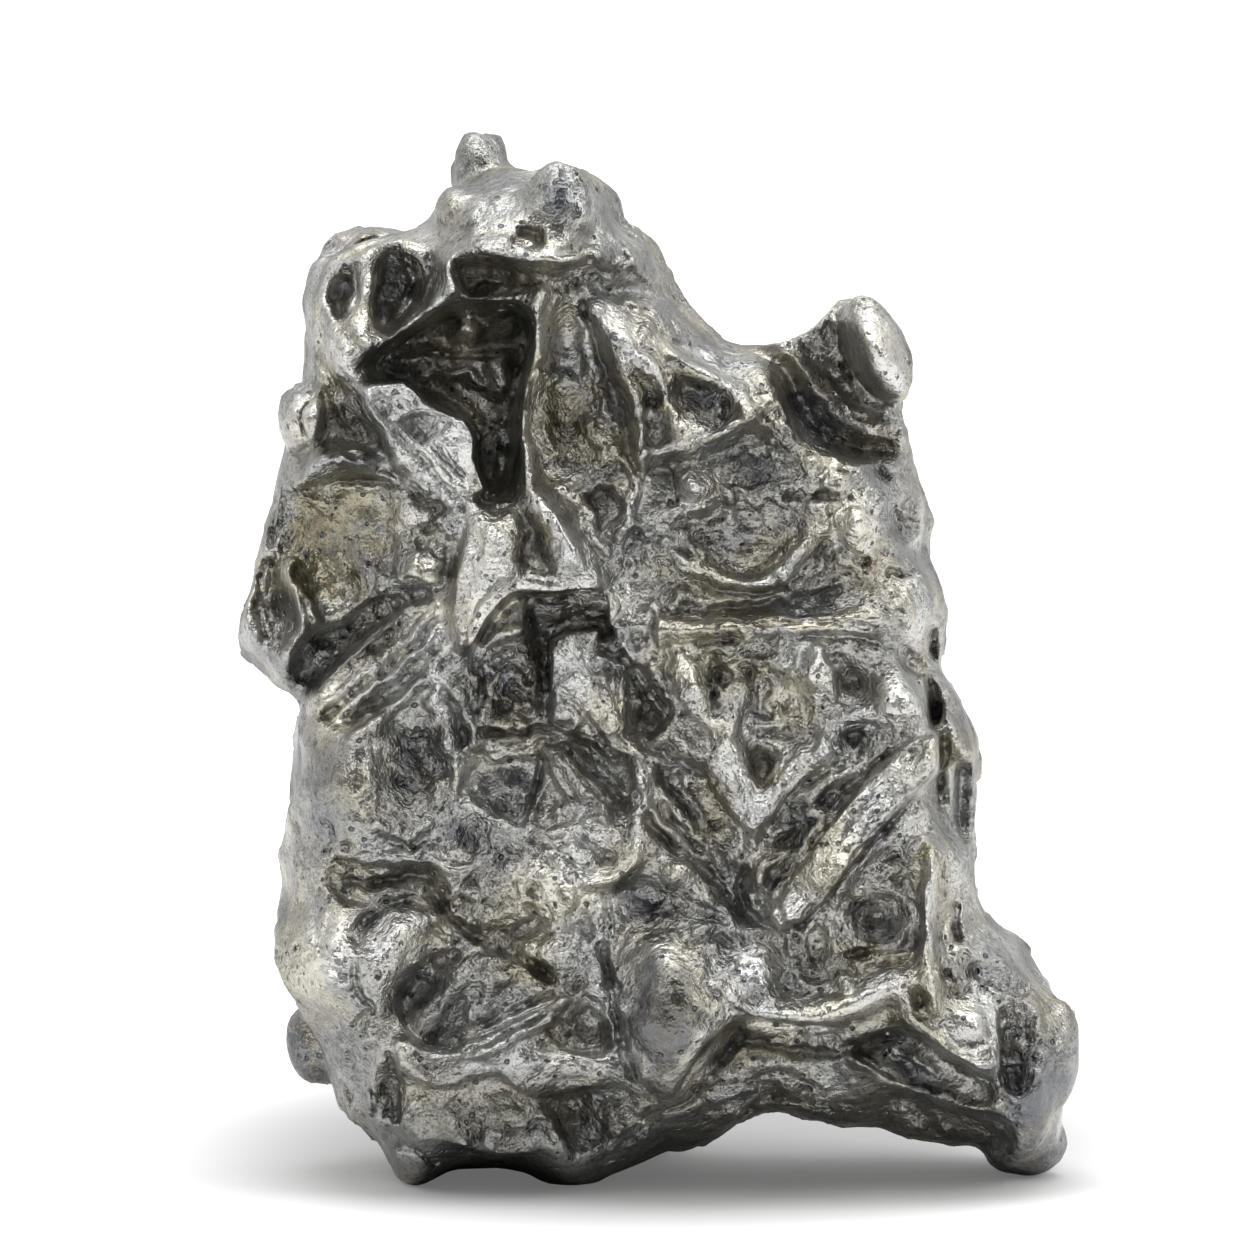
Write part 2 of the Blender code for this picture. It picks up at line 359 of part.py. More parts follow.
def body_sheets(bm):
    """Adds the outlined body: a front and a back sheet that meet along the outline."""
    rim = []
    for (u0, v0), (u1, v1) in itertools.pairwise(OUTLINE + OUTLINE[:1]):
        steps = max(1, round(math.hypot(u1 - u0, v1 - v0) / PITCH))
        rim += [(u0 + (u1 - u0) * i / steps, v0 + (v1 - v0) * i / steps) for i in range(steps)]
    low_u, low_v = np.min(OUTLINE, axis=0)
    high_u, high_v = np.max(OUTLINE, axis=0)
    u, v = np.meshgrid(np.arange(low_u, high_u, PITCH), np.arange(low_v, high_v, PITCH))
    well_in = depth_inside(u, v, OUTLINE) > 0.4 * PITCH
    flat = rim + list(zip(u[well_in], v[well_in]))
    loop = [(i, (i + 1) % len(rim)) for i in range(len(rim))]
    filled = delaunay_2d_cdt([Vector(point) for point in flat], loop, [], 1, 1e-6)
    u, v = np.array([tuple(point) for point in filled[0]]).T
    inset = np.maximum(depth_inside(u, v, OUTLINE), 0.0)
    plane = rim_plane(u, v)
    front = plane + np.maximum(front_surface(u, v) - plane, 1.5) * swell(inset, FRONT_ROUNDING)
    back = plane + np.minimum(back_surface(u, v) - plane, -2.0) * swell(inset, BACK_ROUNDING)
    ahead = [bm.verts.new(point) for point in zip(u, v, front)]
    on_rim = inset < 1e-4
    behind = [
        ahead[i] if on_rim[i] else bm.verts.new((u[i], v[i], back[i])) for i in range(len(u))
    ]
    for a, b, c in filled[2]:
        bm.faces.new((ahead[a], ahead[b], ahead[c]))
        bm.faces.new((behind[c], behind[b], behind[a]))


def add_lobes(bm):
    """Adds the egg-shaped lobes that stand clear of the outlined body."""
    for _, centre, half_sizes, turn in LOBES:
        place = Matrix.LocRotScale(
            Vector(centre), Euler((0.0, 0.0, math.radians(turn))), Vector(half_sizes)
        )
        bmesh.ops.create_icosphere(bm, subdivisions=4, radius=1.0, matrix=place)


def scoops(points):
    """Share of the full depth that the spread hollows have at each point, 0 on their crests."""
    spread = np.random.default_rng(SEED).uniform(LOWEST, HIGHEST, (SCOOP_CELLS, 3))
    distance = np.linalg.norm(points[:, None, :] - spread[None, :, :], axis=2)
    distance.sort(axis=1)
    return ramp((distance[:, 1] - distance[:, 0]) / SCOOP_EDGE)


def with_modifiers(mesh, *settings):
    """The mesh after a row of modifiers, each given as its type and a dict of its values."""
    holder = bpy.data.objects.new("holder", mesh)
    bpy.context.collection.objects.link(holder)
    for kind, values in settings:
        modifier = holder.modifiers.new(kind, kind)
        for name, value in values.items():
            setattr(modifier, name, value)
    graph = bpy.context.evaluated_depsgraph_get()
    result = bpy.data.meshes.new_from_object(holder.evaluated_get(graph))
    bpy.data.objects.remove(holder)
    return result


def coordinates(mesh, what="co"):
    """The mesh's corners, or their normals, as rows of three numbers."""
    rows = np.zeros(len(mesh.vertices) * 3, np.float32)
    source = mesh.vertices if what == "co" else mesh.vertex_normals
    source.foreach_get("co" if what == "co" else "vector", rows)
    return rows.reshape(-1, 3).astype(float)


def stand_up(points):
    """Turns (u, v, w) into the standing frame, with the feet reaching a little below z = 0."""
    u, v, w = points.T
    c, s = math.cos(LEAN), math.sin(LEAN)
    standing = np.stack([u, v * s - w * c, v * c + w * s], axis=1)
    middle = (standing.min(axis=0) + standing.max(axis=0)) / 2.0
    standing -= (middle[0], middle[1], standing[:, 2].min() + FOOT_CUT)
    return standing


def worn_flat(mesh):
    """Cuts the mesh off level at z = 0, so that each foot stands on a small flat."""
    bm = bmesh.new()
    bm.from_mesh(mesh)
    geometry = bm.verts[:] + bm.edges[:] + bm.faces[:]
    cut = bmesh.ops.bisect_plane(
        bm, geom=geometry, dist=1e-6, plane_co=(0, 0, 0), plane_no=(0, 0, 1), clear_inner=True
    )
    rims = [edge for edge in cut["geom_cut"] if isinstance(edge, bmesh.types.BMEdge)]
    bmesh.ops.holes_fill(bm, edges=rims, sides=0)
    bmesh.ops.triangulate(bm, faces=bm.faces[:])
    bm.to_mesh(mesh)
    bm.free()


def iron():
    """Bare, tarnished nickel-iron."""
    material = bpy.data.materials.new("iron")
    material.use_nodes = True
    shader = material.node_tree.nodes["Principled BSDF"]
    shader.inputs["Base Color"].default_value = (0.42, 0.41, 0.39, 1.0)
    shader.inputs["Metallic"].default_value = 1.0
    shader.inputs["Roughness"].default_value = 0.38
    return material


def meteorite():
    """The lump, as one object named meteorite."""
    bm = bmesh.new()
    body_sheets(bm)
    add_lobes(bm)
    shells = bpy.data.meshes.new("shells")
    bm.to_mesh(shells)
    bm.free()
    skin = with_modifiers(
        shells,
        ("REMESH", {"mode": "VOXEL", "voxel_size": PITCH}),
        ("SMOOTH", {"factor": 0.5, "iterations": 5}),
    )
    points = coordinates(skin)
    share = FRONT_SHARE + (1.0 - FRONT_SHARE) * ramp((RIM_PLANE + 1.0 - points[:, 2]) / 4.0)
    share *= ramp((points[:, 1] - 1.5) / 2.0)
    depth = SCOOP_DEPTH * scoops(points) * share
    points -= coordinates(skin, "normal") * depth[:, None]
    standing = stand_up(points) * MM
    skin.vertices.foreach_set("co", standing.astype(np.float32).ravel())
    skin.update()
    mesh = with_modifiers(skin, ("DECIMATE", {"ratio": TRIANGLES / (2 * len(skin.polygons))}))
    worn_flat(mesh)
    mesh.materials.append(iron())
    mesh.shade_smooth()
    lump = bpy.data.objects.new("meteorite", mesh)
    bpy.context.collection.objects.link(lump)
    return lump


def main():
    """Clears the scene and makes the lump."""
    for leftover in list(bpy.data.objects):
        bpy.data.objects.remove(leftover)
    meteorite()


main()
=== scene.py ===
"""An iron meteorite: one folded, pocketed lump of bare metal, standing on its worn feet.

The broad front is worked in the lump's own leaning frame, in millimetres: u to the right,
v up the front and w out of it. The sides and the back are folded by a node tree.
"""

import itertools
import logging
import math
from dataclasses import dataclass, field
from enum import Enum
from typing import Any, Sequence

import bmesh
import bpy
import numpy as np
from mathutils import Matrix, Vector


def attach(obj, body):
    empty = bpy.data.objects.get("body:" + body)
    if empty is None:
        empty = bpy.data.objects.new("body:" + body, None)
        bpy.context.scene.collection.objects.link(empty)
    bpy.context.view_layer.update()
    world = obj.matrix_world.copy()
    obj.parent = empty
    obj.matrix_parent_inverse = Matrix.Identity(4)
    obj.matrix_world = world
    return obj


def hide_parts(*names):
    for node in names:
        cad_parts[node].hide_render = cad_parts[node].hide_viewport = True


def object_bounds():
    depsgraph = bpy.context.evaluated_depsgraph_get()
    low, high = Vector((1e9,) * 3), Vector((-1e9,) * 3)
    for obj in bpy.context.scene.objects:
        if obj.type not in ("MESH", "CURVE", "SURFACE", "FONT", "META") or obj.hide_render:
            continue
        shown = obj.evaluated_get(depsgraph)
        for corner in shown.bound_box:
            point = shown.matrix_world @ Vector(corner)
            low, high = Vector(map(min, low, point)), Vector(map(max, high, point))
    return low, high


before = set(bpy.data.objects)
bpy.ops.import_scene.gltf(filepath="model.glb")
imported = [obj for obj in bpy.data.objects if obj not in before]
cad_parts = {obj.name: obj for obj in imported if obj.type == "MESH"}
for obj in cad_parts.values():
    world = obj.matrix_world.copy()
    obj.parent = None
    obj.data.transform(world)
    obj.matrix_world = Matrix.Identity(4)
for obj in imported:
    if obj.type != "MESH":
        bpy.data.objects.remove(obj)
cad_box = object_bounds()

log = logging.getLogger("meteorite")

MM = 0.001
PER_METRE = 1000.0  # millimetres in a metre
WELD = 1e-7  # corners of the solid closer than this, in metres, are one
LEAN = math.radians(8.0)
SHIFT = (-0.09, 4.94, 0.09)  # from the standing frame to the leaning one, in millimetres
NODE = "meteorite"

Point = tuple[float, float]
Reach = tuple[float, float, float, float]
Array = np.ndarray


def ramp(value: Array) -> Array:
    """0 below 0 and 1 above 1, with a smooth rise between."""
    t = np.clip(value, 0.0, 1.0)
    return t * t * (3.0 - 2.0 * t)


def line_distance(u: Array, v: Array, points: Sequence[Point]) -> Array:
    """Distance from each place to an open line.

    Args:
        u: Places across the front.
        v: Places up the front.
        points: The line's corners.

    Returns:
        One distance for each place.
    """
    nearest = np.full(u.shape, np.inf)
    for (u0, v0), (u1, v1) in itertools.pairwise(points):
        du, dv = u1 - u0, v1 - v0
        along = np.clip(((u - u0) * du + (v - v0) * dv) / (du * du + dv * dv), 0.0, 1.0)
        nearest = np.minimum(nearest, np.hypot(u - u0 - along * du, v - v0 - along * dv))
    return nearest


def depth_inside(u: Array, v: Array, corners: Sequence[Point]) -> Array:
    """Distance to the edge of a closed outline.

    Args:
        u: Places across the front.
        v: Places up the front.
        corners: The outline's corners, in order.

    Returns:
        The distance, above 0 inside the outline and below 0 outside it.
    """
    inside = np.zeros(u.shape, bool)
    closed = [*corners, corners[0]]
    for (u0, v0), (u1, v1) in itertools.pairwise(closed):
        if v1 != v0:
            inside ^= ((v0 > v) != (v1 > v)) & (u < u0 + (v - v0) * (u1 - u0) / (v1 - v0))
    distance = line_distance(u, v, closed)
    return np.where(inside, distance, -distance)


def around(points: Sequence[Point], margin: float) -> Reach:
    """The box of a row of points, grown by a margin on each side."""
    us, vs = zip(*points)
    return min(us) - margin, max(us) + margin, min(vs) - margin, max(vs) + margin


def grey(level: float) -> tuple[float, ...]:
    """A plain grey colour."""
    return level, level, level, 1.0


def ripple(places: Array, wavelength: float, seed: int, waves: int = 9) -> Array:
    """A smooth wandering value made of plane waves.

    Args:
        places: One row of coordinates for each place.
        wavelength: The typical distance from crest to crest.
        seed: Fixes the waves' directions.
        waves: How many waves are added.

    Returns:
        One value for each place, mostly between -1 and 1.
    """
    rng = np.random.default_rng(seed)
    total = np.zeros(len(places))
    for _ in range(waves):
        direction = rng.normal(size=places.shape[1])
        direction *= 2.0 * math.pi / (wavelength * rng.uniform(0.6, 1.6) * np.linalg.norm(direction))
        total += np.sin(places @ direction + rng.uniform(0.0, 2.0 * math.pi))
    return total * math.sqrt(1.2 / waves)


class Section(Enum):
    """How a form stands up from the metal round it."""

    ROUND = "round"
    SHARP = "sharp"
    FULL = "full"

    def rise(self, ratio: Array) -> Array:
        """The share of the lift at this ratio of the half width, 1 in the middle."""
        t = np.clip(ratio, 0.0, 1.0)
        if self is Section.SHARP:
            return (1.0 - t) ** 1.5
        if self is Section.FULL:
            return (1.0 - t**3) ** 1.2
        return (1.0 - t * t) ** 2


@dataclass(frozen=True)
class Fold:
    """A ridge, or a groove where the lift is below 0, along a line."""

    half_width: float
    lift: float
    points: Sequence[Point]
    section: Section = Section.ROUND

    def reach(self) -> Reach:
        """The box that the fold changes."""
        return around(self.points, self.half_width)

    def height(self, u: Array, v: Array) -> Array:
        """What the fold adds at each place."""
        return self.lift * self.section.rise(line_distance(u, v, self.points) / self.half_width)


@dataclass(frozen=True)
class Boss:
    """An oval swelling, or a hollow where the lift is below 0."""

    u: float
    v: float
    half_u: float
    half_v: float
    lift: float
    turn: float = 0.0
    section: Section = Section.ROUND

    def reach(self) -> Reach:
        """The box that the swelling changes."""
        return around([(self.u, self.v)], max(self.half_u, self.half_v))

    def ratio(self, u: Array, v: Array) -> Array:
        """How far each place is from the middle, 1 being the oval's edge."""
        c, s = math.cos(math.radians(self.turn)), math.sin(math.radians(self.turn))
        across, up = u - self.u, v - self.v
        return np.hypot((across * c + up * s) / self.half_u, (up * c - across * s) / self.half_v)

    def height(self, u: Array, v: Array) -> Array:
        """What the swelling adds at each place."""
        return self.lift * self.section.rise(self.ratio(u, v))


@dataclass(frozen=True)
class Plate:
    """A flat face with a plain edge, raised or sunk, and tipped by its slopes."""

    lift: float
    edge: float
    corners: Sequence[Point]
    slope_u: float = 0.0
    slope_v: float = 0.0

    def reach(self) -> Reach:
        """The box that the face changes."""
        return around(self.corners, self.edge)

    def height(self, u: Array, v: Array) -> Array:
        """What the face adds at each place."""
        middle_u, middle_v = np.mean(self.corners, axis=0)
        level = self.lift + self.slope_u * (u - middle_u) + self.slope_v * (v - middle_v)
        level = np.maximum(level, 0.0) if self.lift > 0.0 else np.minimum(level, 0.0)
        return level * ramp(0.5 + depth_inside(u, v, self.corners) / self.edge)


@dataclass(frozen=True)
class Face:
    """A tipped level that what lies inside its outline is filled up or cut down to."""

    level: float
    edge: float
    corners: Sequence[Point]
    slope_u: float = 0.0
    slope_v: float = 0.0
    thickness: float = 9.0

    def work(self, u: Array, v: Array, w: Array) -> Array:
        """The depths w after the level is put in; what lies a thickness below it stays."""
        middle_u, middle_v = np.mean(self.corners, axis=0)
        level = self.level + self.slope_u * (u - middle_u) + self.slope_v * (v - middle_v)
        share = ramp(0.5 + depth_inside(u, v, self.corners) / self.edge)
        share *= w > level - self.thickness
        return w + (level - w) * share


@dataclass(frozen=True)
class Grain:
    """Fine parallel grooves, as torn metal has, inside an outline."""

    spacing: float
    depth: float
    heading: float
    corners: Sequence[Point]
    seed: int = 1
    stretch: float = 5.0
    border: float = 0.35

    def reach(self) -> Reach:
        """The box that the grooves lie in."""
        return around(self.corners, 0.0)

    def height(self, u: Array, v: Array) -> Array:
        """What the grooves add at each place."""
        c, s = math.cos(math.radians(self.heading)), math.sin(math.radians(self.heading))
        along, across = u * c + v * s, v * c - u * s
        places = np.stack([along / self.stretch, across], axis=1)
        wander = ripple(places, 1.2, self.seed)
        phase = across / self.spacing + 0.35 * wander
        teeth = 1.0 - np.abs((phase % 1.0) * 2.0 - 1.0)
        strength = 0.6 + 0.4 * ripple(places, 0.9, self.seed + 1)
        inside = ramp(depth_inside(u, v, self.corners) / self.border)
        return -self.depth * teeth * strength * inside


@dataclass(frozen=True)
class Rubble:
    """A patch of small broken facets, each tipped its own way."""

    u: float
    v: float
    half_u: float
    half_v: float
    facet: float
    lift: float
    tip: float
    seed: int
    border: float = 0.35
    fewest: int = 4

    def reach(self) -> Reach:
        """The box that the facets lie in."""
        half_u, half_v = self.half_u, self.half_v
        return self.u - half_u, self.u + half_u, self.v - half_v, self.v + half_v

    def height(self, u: Array, v: Array) -> Array:
        """What the facets add at each place."""
        rng = np.random.default_rng(self.seed)
        area = 4.0 * self.half_u * self.half_v
        count = max(self.fewest, int(area / self.facet**2))
        seats_u = self.u + rng.uniform(-self.half_u, self.half_u, count)
        seats_v = self.v + rng.uniform(-self.half_v, self.half_v, count)
        lifts = rng.uniform(-self.lift, self.lift, count)
        tips = rng.normal(0.0, self.tip, (count, 2))
        nearest = np.full(u.shape, np.inf)
        level = np.zeros(u.shape)
        for seat_u, seat_v, lift, (tip_u, tip_v) in zip(seats_u, seats_v, lifts, tips):
            du, dv = u - seat_u, v - seat_v
            distance = np.hypot(du, dv)
            closer = distance < nearest
            nearest = np.where(closer, distance, nearest)
            level = np.where(closer, lift + tip_u * du + tip_v * dv, level)
        ratio = np.hypot((u - self.u) / self.half_u, (v - self.v) / self.half_v)
        return 0.5 * level * ramp((1.0 - ratio) / self.border)


@dataclass(frozen=True)
class Facets:
    """Broken faces side by side over the whole front, each tipped its own way."""

    size: float
    tip: float
    step: float
    seed: int
    extent: float = 60.0
    wander: float = 0.3
    wander_length: float = 2.2
    spare_cells: int = 4

    def height(self, u: Array, v: Array) -> Array:
        """What the faces add at each place."""
        rng = np.random.default_rng(self.seed)
        cells = int(2.0 * self.extent / self.size) + self.spare_cells
        seats = rng.uniform(0.1, 0.9, (2, cells, cells))
        steps = rng.uniform(-self.step, self.step, (cells, cells))
        tips = rng.normal(0.0, self.tip, (2, cells, cells))
        flat = np.stack([u, v], axis=1)
        across, up = ((place + self.extent + self.wander * self.size * ripple(
            flat, self.wander_length * self.size, seed)) / self.size
            for place, seed in ((u, self.seed), (v, self.seed + 1)))
        nearest = np.full(u.shape, np.inf)
        level = np.zeros(u.shape)
        for i, j in itertools.product((-1, 0, 1), repeat=2):
            column = np.clip(np.floor(across).astype(int) + i, 0, cells - 1)
            row = np.clip(np.floor(up).astype(int) + j, 0, cells - 1)
            du = across - column - seats[0, column, row]
            dv = up - row - seats[1, column, row]
            distance = np.hypot(du, dv)
            face = steps[column, row] + self.size * (tips[0, column, row] * du + tips[1, column, row] * dv)
            level = np.where(distance < nearest, face, level)
            nearest = np.minimum(nearest, distance)
        return level


@dataclass(frozen=True)
class Knob:
    """An ovoid that swells out of the lump's outline, in the leaning frame."""

    middle: tuple[float, float, float]
    halves: tuple[float, float, float]
    turn: float = 0.0

    def add(self, bm: bmesh.types.BMesh, leaning: "Leaning") -> None:
        """Adds the ovoid to a mesh in the standing frame."""
        made = bmesh.ops.create_icosphere(bm, subdivisions=4, radius=1.0)["verts"]
        rows = np.array([vert.co for vert in made]) * np.array(self.halves)
        c, s = math.cos(math.radians(self.turn)), math.sin(math.radians(self.turn))
        turned = np.stack([rows[:, 0] * c - rows[:, 1] * s, rows[:, 0] * s + rows[:, 1] * c,
                           rows[:, 2]], axis=1)
        for vert, place in zip(made, leaning.stand(turned + np.array(self.middle))):
            vert.co = place


Form = Fold | Boss | Plate | Grain | Rubble
S, F = Section.SHARP, Section.FULL


def crown() -> list[Form]:
    """The forms of the knob at the top and of the lip under it."""
    return [
        Fold(0.9, 0.6, [(-10.4, 46.6), (-9.5, 46.7), (-8.2, 47.0), (-7.2, 46.7), (-6.4, 46.3),
            (-5.0, 46.1), (-4.3, 46.3)]),
        Fold(0.5, -0.5, [(-10.2, 45.6), (-8.2, 45.9), (-7.2, 45.5), (-6.4, 45.2), (-5.0, 45.1),
            (-4.2, 45.3)]),
        Fold(0.26, -0.4, [(-11.2, 48.2), (-10.1, 47.9), (-9.0, 48.2), (-8.6, 49.2), (-8.9, 50.2)]),
        Boss(-9.6, 47.9, 0.4, 0.4, -0.5), Fold(1.2, -0.5, [(-6.3, 50.2), (-7.2, 49.3), (-8.0, 48.8)]),
        Plate(-1.0, 0.35, [(-7.4, 46.9), (-6.9, 48.0), (-5.9, 47.9), (-5.6, 47.2), (-6.2, 46.7)]),
        Boss(-6.6, 47.1, 0.6, 0.55, 0.6, 0, F), Boss(-6.6, 47.1, 0.26, 0.24, -0.7),
        Fold(0.3, -0.6, [(-2.6, 50.1), (-2.3, 49.3), (-2.0, 48.8), (-1.8, 48.0)]),
        Boss(-3.5, 48.5, 0.6, 0.5, 0.35, 0, F), Boss(-2.8, 46.5, 0.5, 0.45, 0.4, 0, F),
        Fold(0.45, -0.8, [(-3.0, 47.9), (-3.8, 47.3), (-4.6, 46.7)]), Boss(-3.5, 46.4, 0.4, 0.35, -0.7),
        Boss(-4.0, 45.1, 0.7, 0.75, 0.6, 0, F), Boss(-4.1, 44.2, 0.3, 0.4, 0.4),
        Boss(-2.7, 45.4, 0.5, 0.5, 0.35), Fold(0.7, -0.6, [(-2.2, 44.9), (0.0, 44.8), (1.0, 44.2)]),
        Rubble(-1.3, 46.7, 1.6, 1.6, 0.5, 0.14, 0.3, 21),
        Rubble(-3.8, 45.2, 1.1, 1.1, 0.35, 0.12, 0.3, 22),
    ]


def ear() -> list[Form]:
    """The forms of the hollow shoulder at the upper left."""
    return [
        Fold(1.0, 0.4, [(-12.0, 47.7), (-14.6, 47.2), (-16.4, 46.2), (-17.1, 44.4), (-16.9, 43.0),
            (-16.1, 42.0), (-15.2, 41.0), (-14.6, 40.6)]),
        Plate(-0.5, 0.3, [(-15.1, 46.4), (-15.7, 46.2), (-16.4, 45.2), (-16.5, 44.6), (-15.9, 43.4),
            (-15.6, 44.2), (-15.1, 45.0), (-14.7, 46.0)], 0.0, 0.25),
        Fold(0.85, 1.5, [(-14.5, 47.1), (-14.3, 46.2), (-14.6, 45.2), (-15.0, 44.3), (-14.8, 43.4),
            (-14.4, 42.7), (-13.9, 42.1)], F),
        Plate(-0.3, 0.3, [(-13.5, 46.9), (-13.9, 46.0), (-14.0, 44.5), (-13.8, 43.0), (-13.6, 42.3),
            (-13.0, 42.9), (-12.4, 44.0), (-11.9, 45.2), (-11.9, 46.0), (-12.7, 46.9)], 0.8, 0.1),
        Fold(0.3, 0.5, [(-12.6, 46.4), (-12.3, 45.2), (-12.9, 44.0), (-13.4, 43.0)], S),
        Fold(0.8, 1.1, [(-13.6, 42.15), (-12.6, 42.8), (-11.6, 43.3), (-11.0, 43.9), (-10.6, 44.6),
            (-10.4, 45.2), (-10.4, 45.9)]),
        Fold(0.5, 0.9, [(-10.3, 44.9), (-9.8, 44.7), (-9.3, 44.4), (-8.6, 44.2), (-7.8, 44.2),
            (-7.2, 44.4), (-6.9, 44.8), (-6.9, 45.4)], S),
        Boss(-8.5, 45.3, 1.5, 0.8, -0.4), Fold(0.26, -0.5, [(-12.2, 44.9), (-11.5, 45.6), (-11.3, 46.6)]),
        Fold(0.26, -0.5, [(-11.6, 42.7), (-10.9, 43.1), (-10.2, 44.0)]),
    ]


def cavern() -> list[Form]:
    """The forms of the deep dark hollow and of the torn slab below it."""
    slab = [(-14.8, 40.1), (-12.6, 40.4), (-12.0, 39.9), (-11.8, 39.4), (-10.4, 38.6), (-9.7, 38.6),
            (-9.1, 37.6), (-9.0, 35.8), (-8.4, 34.8), (-9.0, 34.0), (-10.5, 34.1), (-11.5, 34.5),
            (-12.8, 36.0), (-13.9, 37.5), (-14.8, 39.4)]
    return [
        Fold(0.7, 1.0, [(-13.4, 41.5), (-12.2, 41.5), (-11.0, 41.9), (-9.8, 41.5), (-8.8, 41.7),
            (-7.6, 41.4)], S),
        Fold(0.5, 0.9, [(-11.9, 40.5), (-11.2, 41.1), (-10.4, 40.6), (-9.6, 40.9), (-8.8, 40.2)], S),
        Boss(-8.0, 40.4, 0.7, 1.2, 1.2, 0, F), Boss(-10.9, 40.5, 0.5, 0.6, -0.8),
        Boss(-9.6, 42.7, 1.2, 1.2, 1.5), Boss(-9.7, 42.3, 0.32, 0.3, -0.6),
        Fold(0.3, 0.6, [(-7.9, 38.4), (-7.8, 37.0), (-7.9, 35.9), (-8.2, 35.0)], S),
        Plate(0.9, 0.3, slab, 0.12, 0.05), Grain(0.5, 0.3, -44, slab, 5),
        Fold(0.45, 0.6, [(-14.7, 39.9), (-13.8, 38.2), (-12.8, 36.6), (-11.6, 35.0)], S),
        Fold(0.4, 0.5, [(-14.6, 40.0), (-13.4, 40.2), (-12.6, 40.3), (-12.0, 39.8)], S),
        Plate(-1.2, 0.25, [(-12.9, 38.3), (-12.1, 38.9), (-11.2, 38.7), (-10.3, 38.2),
            (-11.7, 37.1)], 0.3, -0.3),
        Fold(0.35, 0.5, [(-10.2, 38.4), (-9.6, 38.2), (-9.3, 37.2), (-9.2, 36.0), (-8.7, 34.9)], S),
        Fold(0.26, -0.6, [(-14.2, 39.2), (-12.9, 37.6), (-11.6, 36.2), (-10.2, 34.8)]),
        Fold(0.26, -0.6, [(-12.2, 37.9), (-11.0, 36.8), (-9.6, 35.4)]),
        Plate(-1.1, 0.5, [(-16.4, 40.3), (-14.9, 39.8), (-14.3, 38.0), (-13.4, 36.6), (-12.8, 35.5),
            (-14.8, 36.3), (-16.2, 37.0), (-16.9, 38.0), (-16.6, 39.6)], 0.25, 0.2),
        Fold(0.5, 0.4, [(-16.2, 39.4), (-15.6, 38.2), (-14.9, 37.2)], S),
        Plate(0.6, 0.25, [(-13.3, 35.2), (-12.2, 34.5), (-11.3, 33.8), (-11.8, 32.9),
            (-13.0, 33.5)], 0.2, 0.3),
        Plate(0.7, 0.25, [(-11.2, 33.5), (-10.1, 34.1), (-9.5, 33.6), (-10.0, 32.4),
            (-10.7, 32.8)], -0.2, 0.2),
        Plate(0.8, 0.25, [(-13.0, 30.6), (-12.8, 31.8), (-11.7, 32.0), (-10.7, 31.4), (-10.8, 30.3),
            (-12.5, 30.1)], 0.2, -0.3),
        Plate(0.6, 0.2, [(-13.8, 29.9), (-12.3, 29.8), (-13.2, 28.6)], 0.0, 0.3),
        Rubble(-11.6, 32.6, 1.7, 2.0, 0.8, 0.5, 0.6, 23),
        Fold(0.4, -1.0, [(-17.0, 42.0), (-16.5, 41.0), (-16.0, 40.2), (-15.4, 39.7)]),
    ]


def panel() -> list[Form]:
    """The forms of the long upright panel and of the crests that frame it."""
    return [
        Fold(0.6, 1.2, [(-5.7, 44.8), (-6.0, 44.0), (-6.1, 42.5), (-6.15, 41.4), (-6.6, 40.8),
            (-6.85, 40.0), (-7.0, 39.2), (-7.0, 38.3), (-6.75, 37.3), (-6.5, 36.3), (-6.4, 35.7)], S),
        Boss(-6.7, 35.3, 0.6, 0.7, 0.7, 0, F),
        Plate(-0.4, 0.7, [(-5.8, 44.4), (-4.0, 44.2), (-3.5, 42.0), (-3.1, 40.2), (-2.5, 38.8),
            (-2.1, 37.3), (-4.5, 35.4), (-5.8, 34.8), (-6.2, 36.0), (-6.7, 38.5),
            (-6.2, 40.6)], 0.12, 0.0),
        Plate(0.35, 0.3, [(-6.0, 40.9), (-4.8, 40.8), (-3.6, 40.4), (-3.1, 39.2), (-4.6, 39.0),
            (-6.2, 39.6)], 0.0, 0.3),
        Fold(0.7, 0.5, [(-4.6, 35.2), (-3.2, 36.2), (-2.2, 36.8)]), Boss(-4.6, 38.0, 1.2, 1.8, -0.3, 10),
        Fold(0.28, -1.0, [(-3.7, 44.0), (-3.2, 42.5), (-2.8, 41.2), (-2.3, 40.0), (-1.9, 38.8),
            (-1.6, 37.8), (-1.4, 36.8), (-0.95, 35.8)]),
        Fold(0.45, 0.4, [(-3.9, 43.5), (-3.55, 41.8), (-3.15, 40.3), (-2.7, 39.3), (-2.4, 38.2),
            (-2.1, 37.0)], S),
        Fold(0.75, 0.7, [(-3.1, 44.2), (-2.4, 42.4), (-1.8, 41.4), (-1.4, 40.2), (-1.0, 39.5),
            (-0.8, 38.5), (-0.8, 37.6), (-0.9, 36.6)], S),
        Boss(-1.0, 39.3, 0.55, 1.15, 0.5, 8, F),
        Fold(0.26, -0.5, [(-1.5, 40.6), (-0.9, 40.4), (-0.6, 39.4), (-0.5, 38.4)]),
        Fold(0.5, 0.7, [(-1.1, 35.6), (-1.2, 34.8), (-1.6, 33.4), (-1.9, 32.6)]),
        Plate(-0.9, 0.3, [(-3.5, 34.6), (-2.3, 35.0), (-1.7, 34.2), (-2.1, 33.2),
            (-3.0, 33.0)], 0.2, -0.3),
        Fold(0.4, 0.5, [(-4.1, 34.6), (-3.0, 35.3), (-2.0, 35.3)], S),
        Fold(0.26, -0.4, [(-5.6, 37.0), (-4.9, 36.3), (-3.9, 36.2)]),
    ]


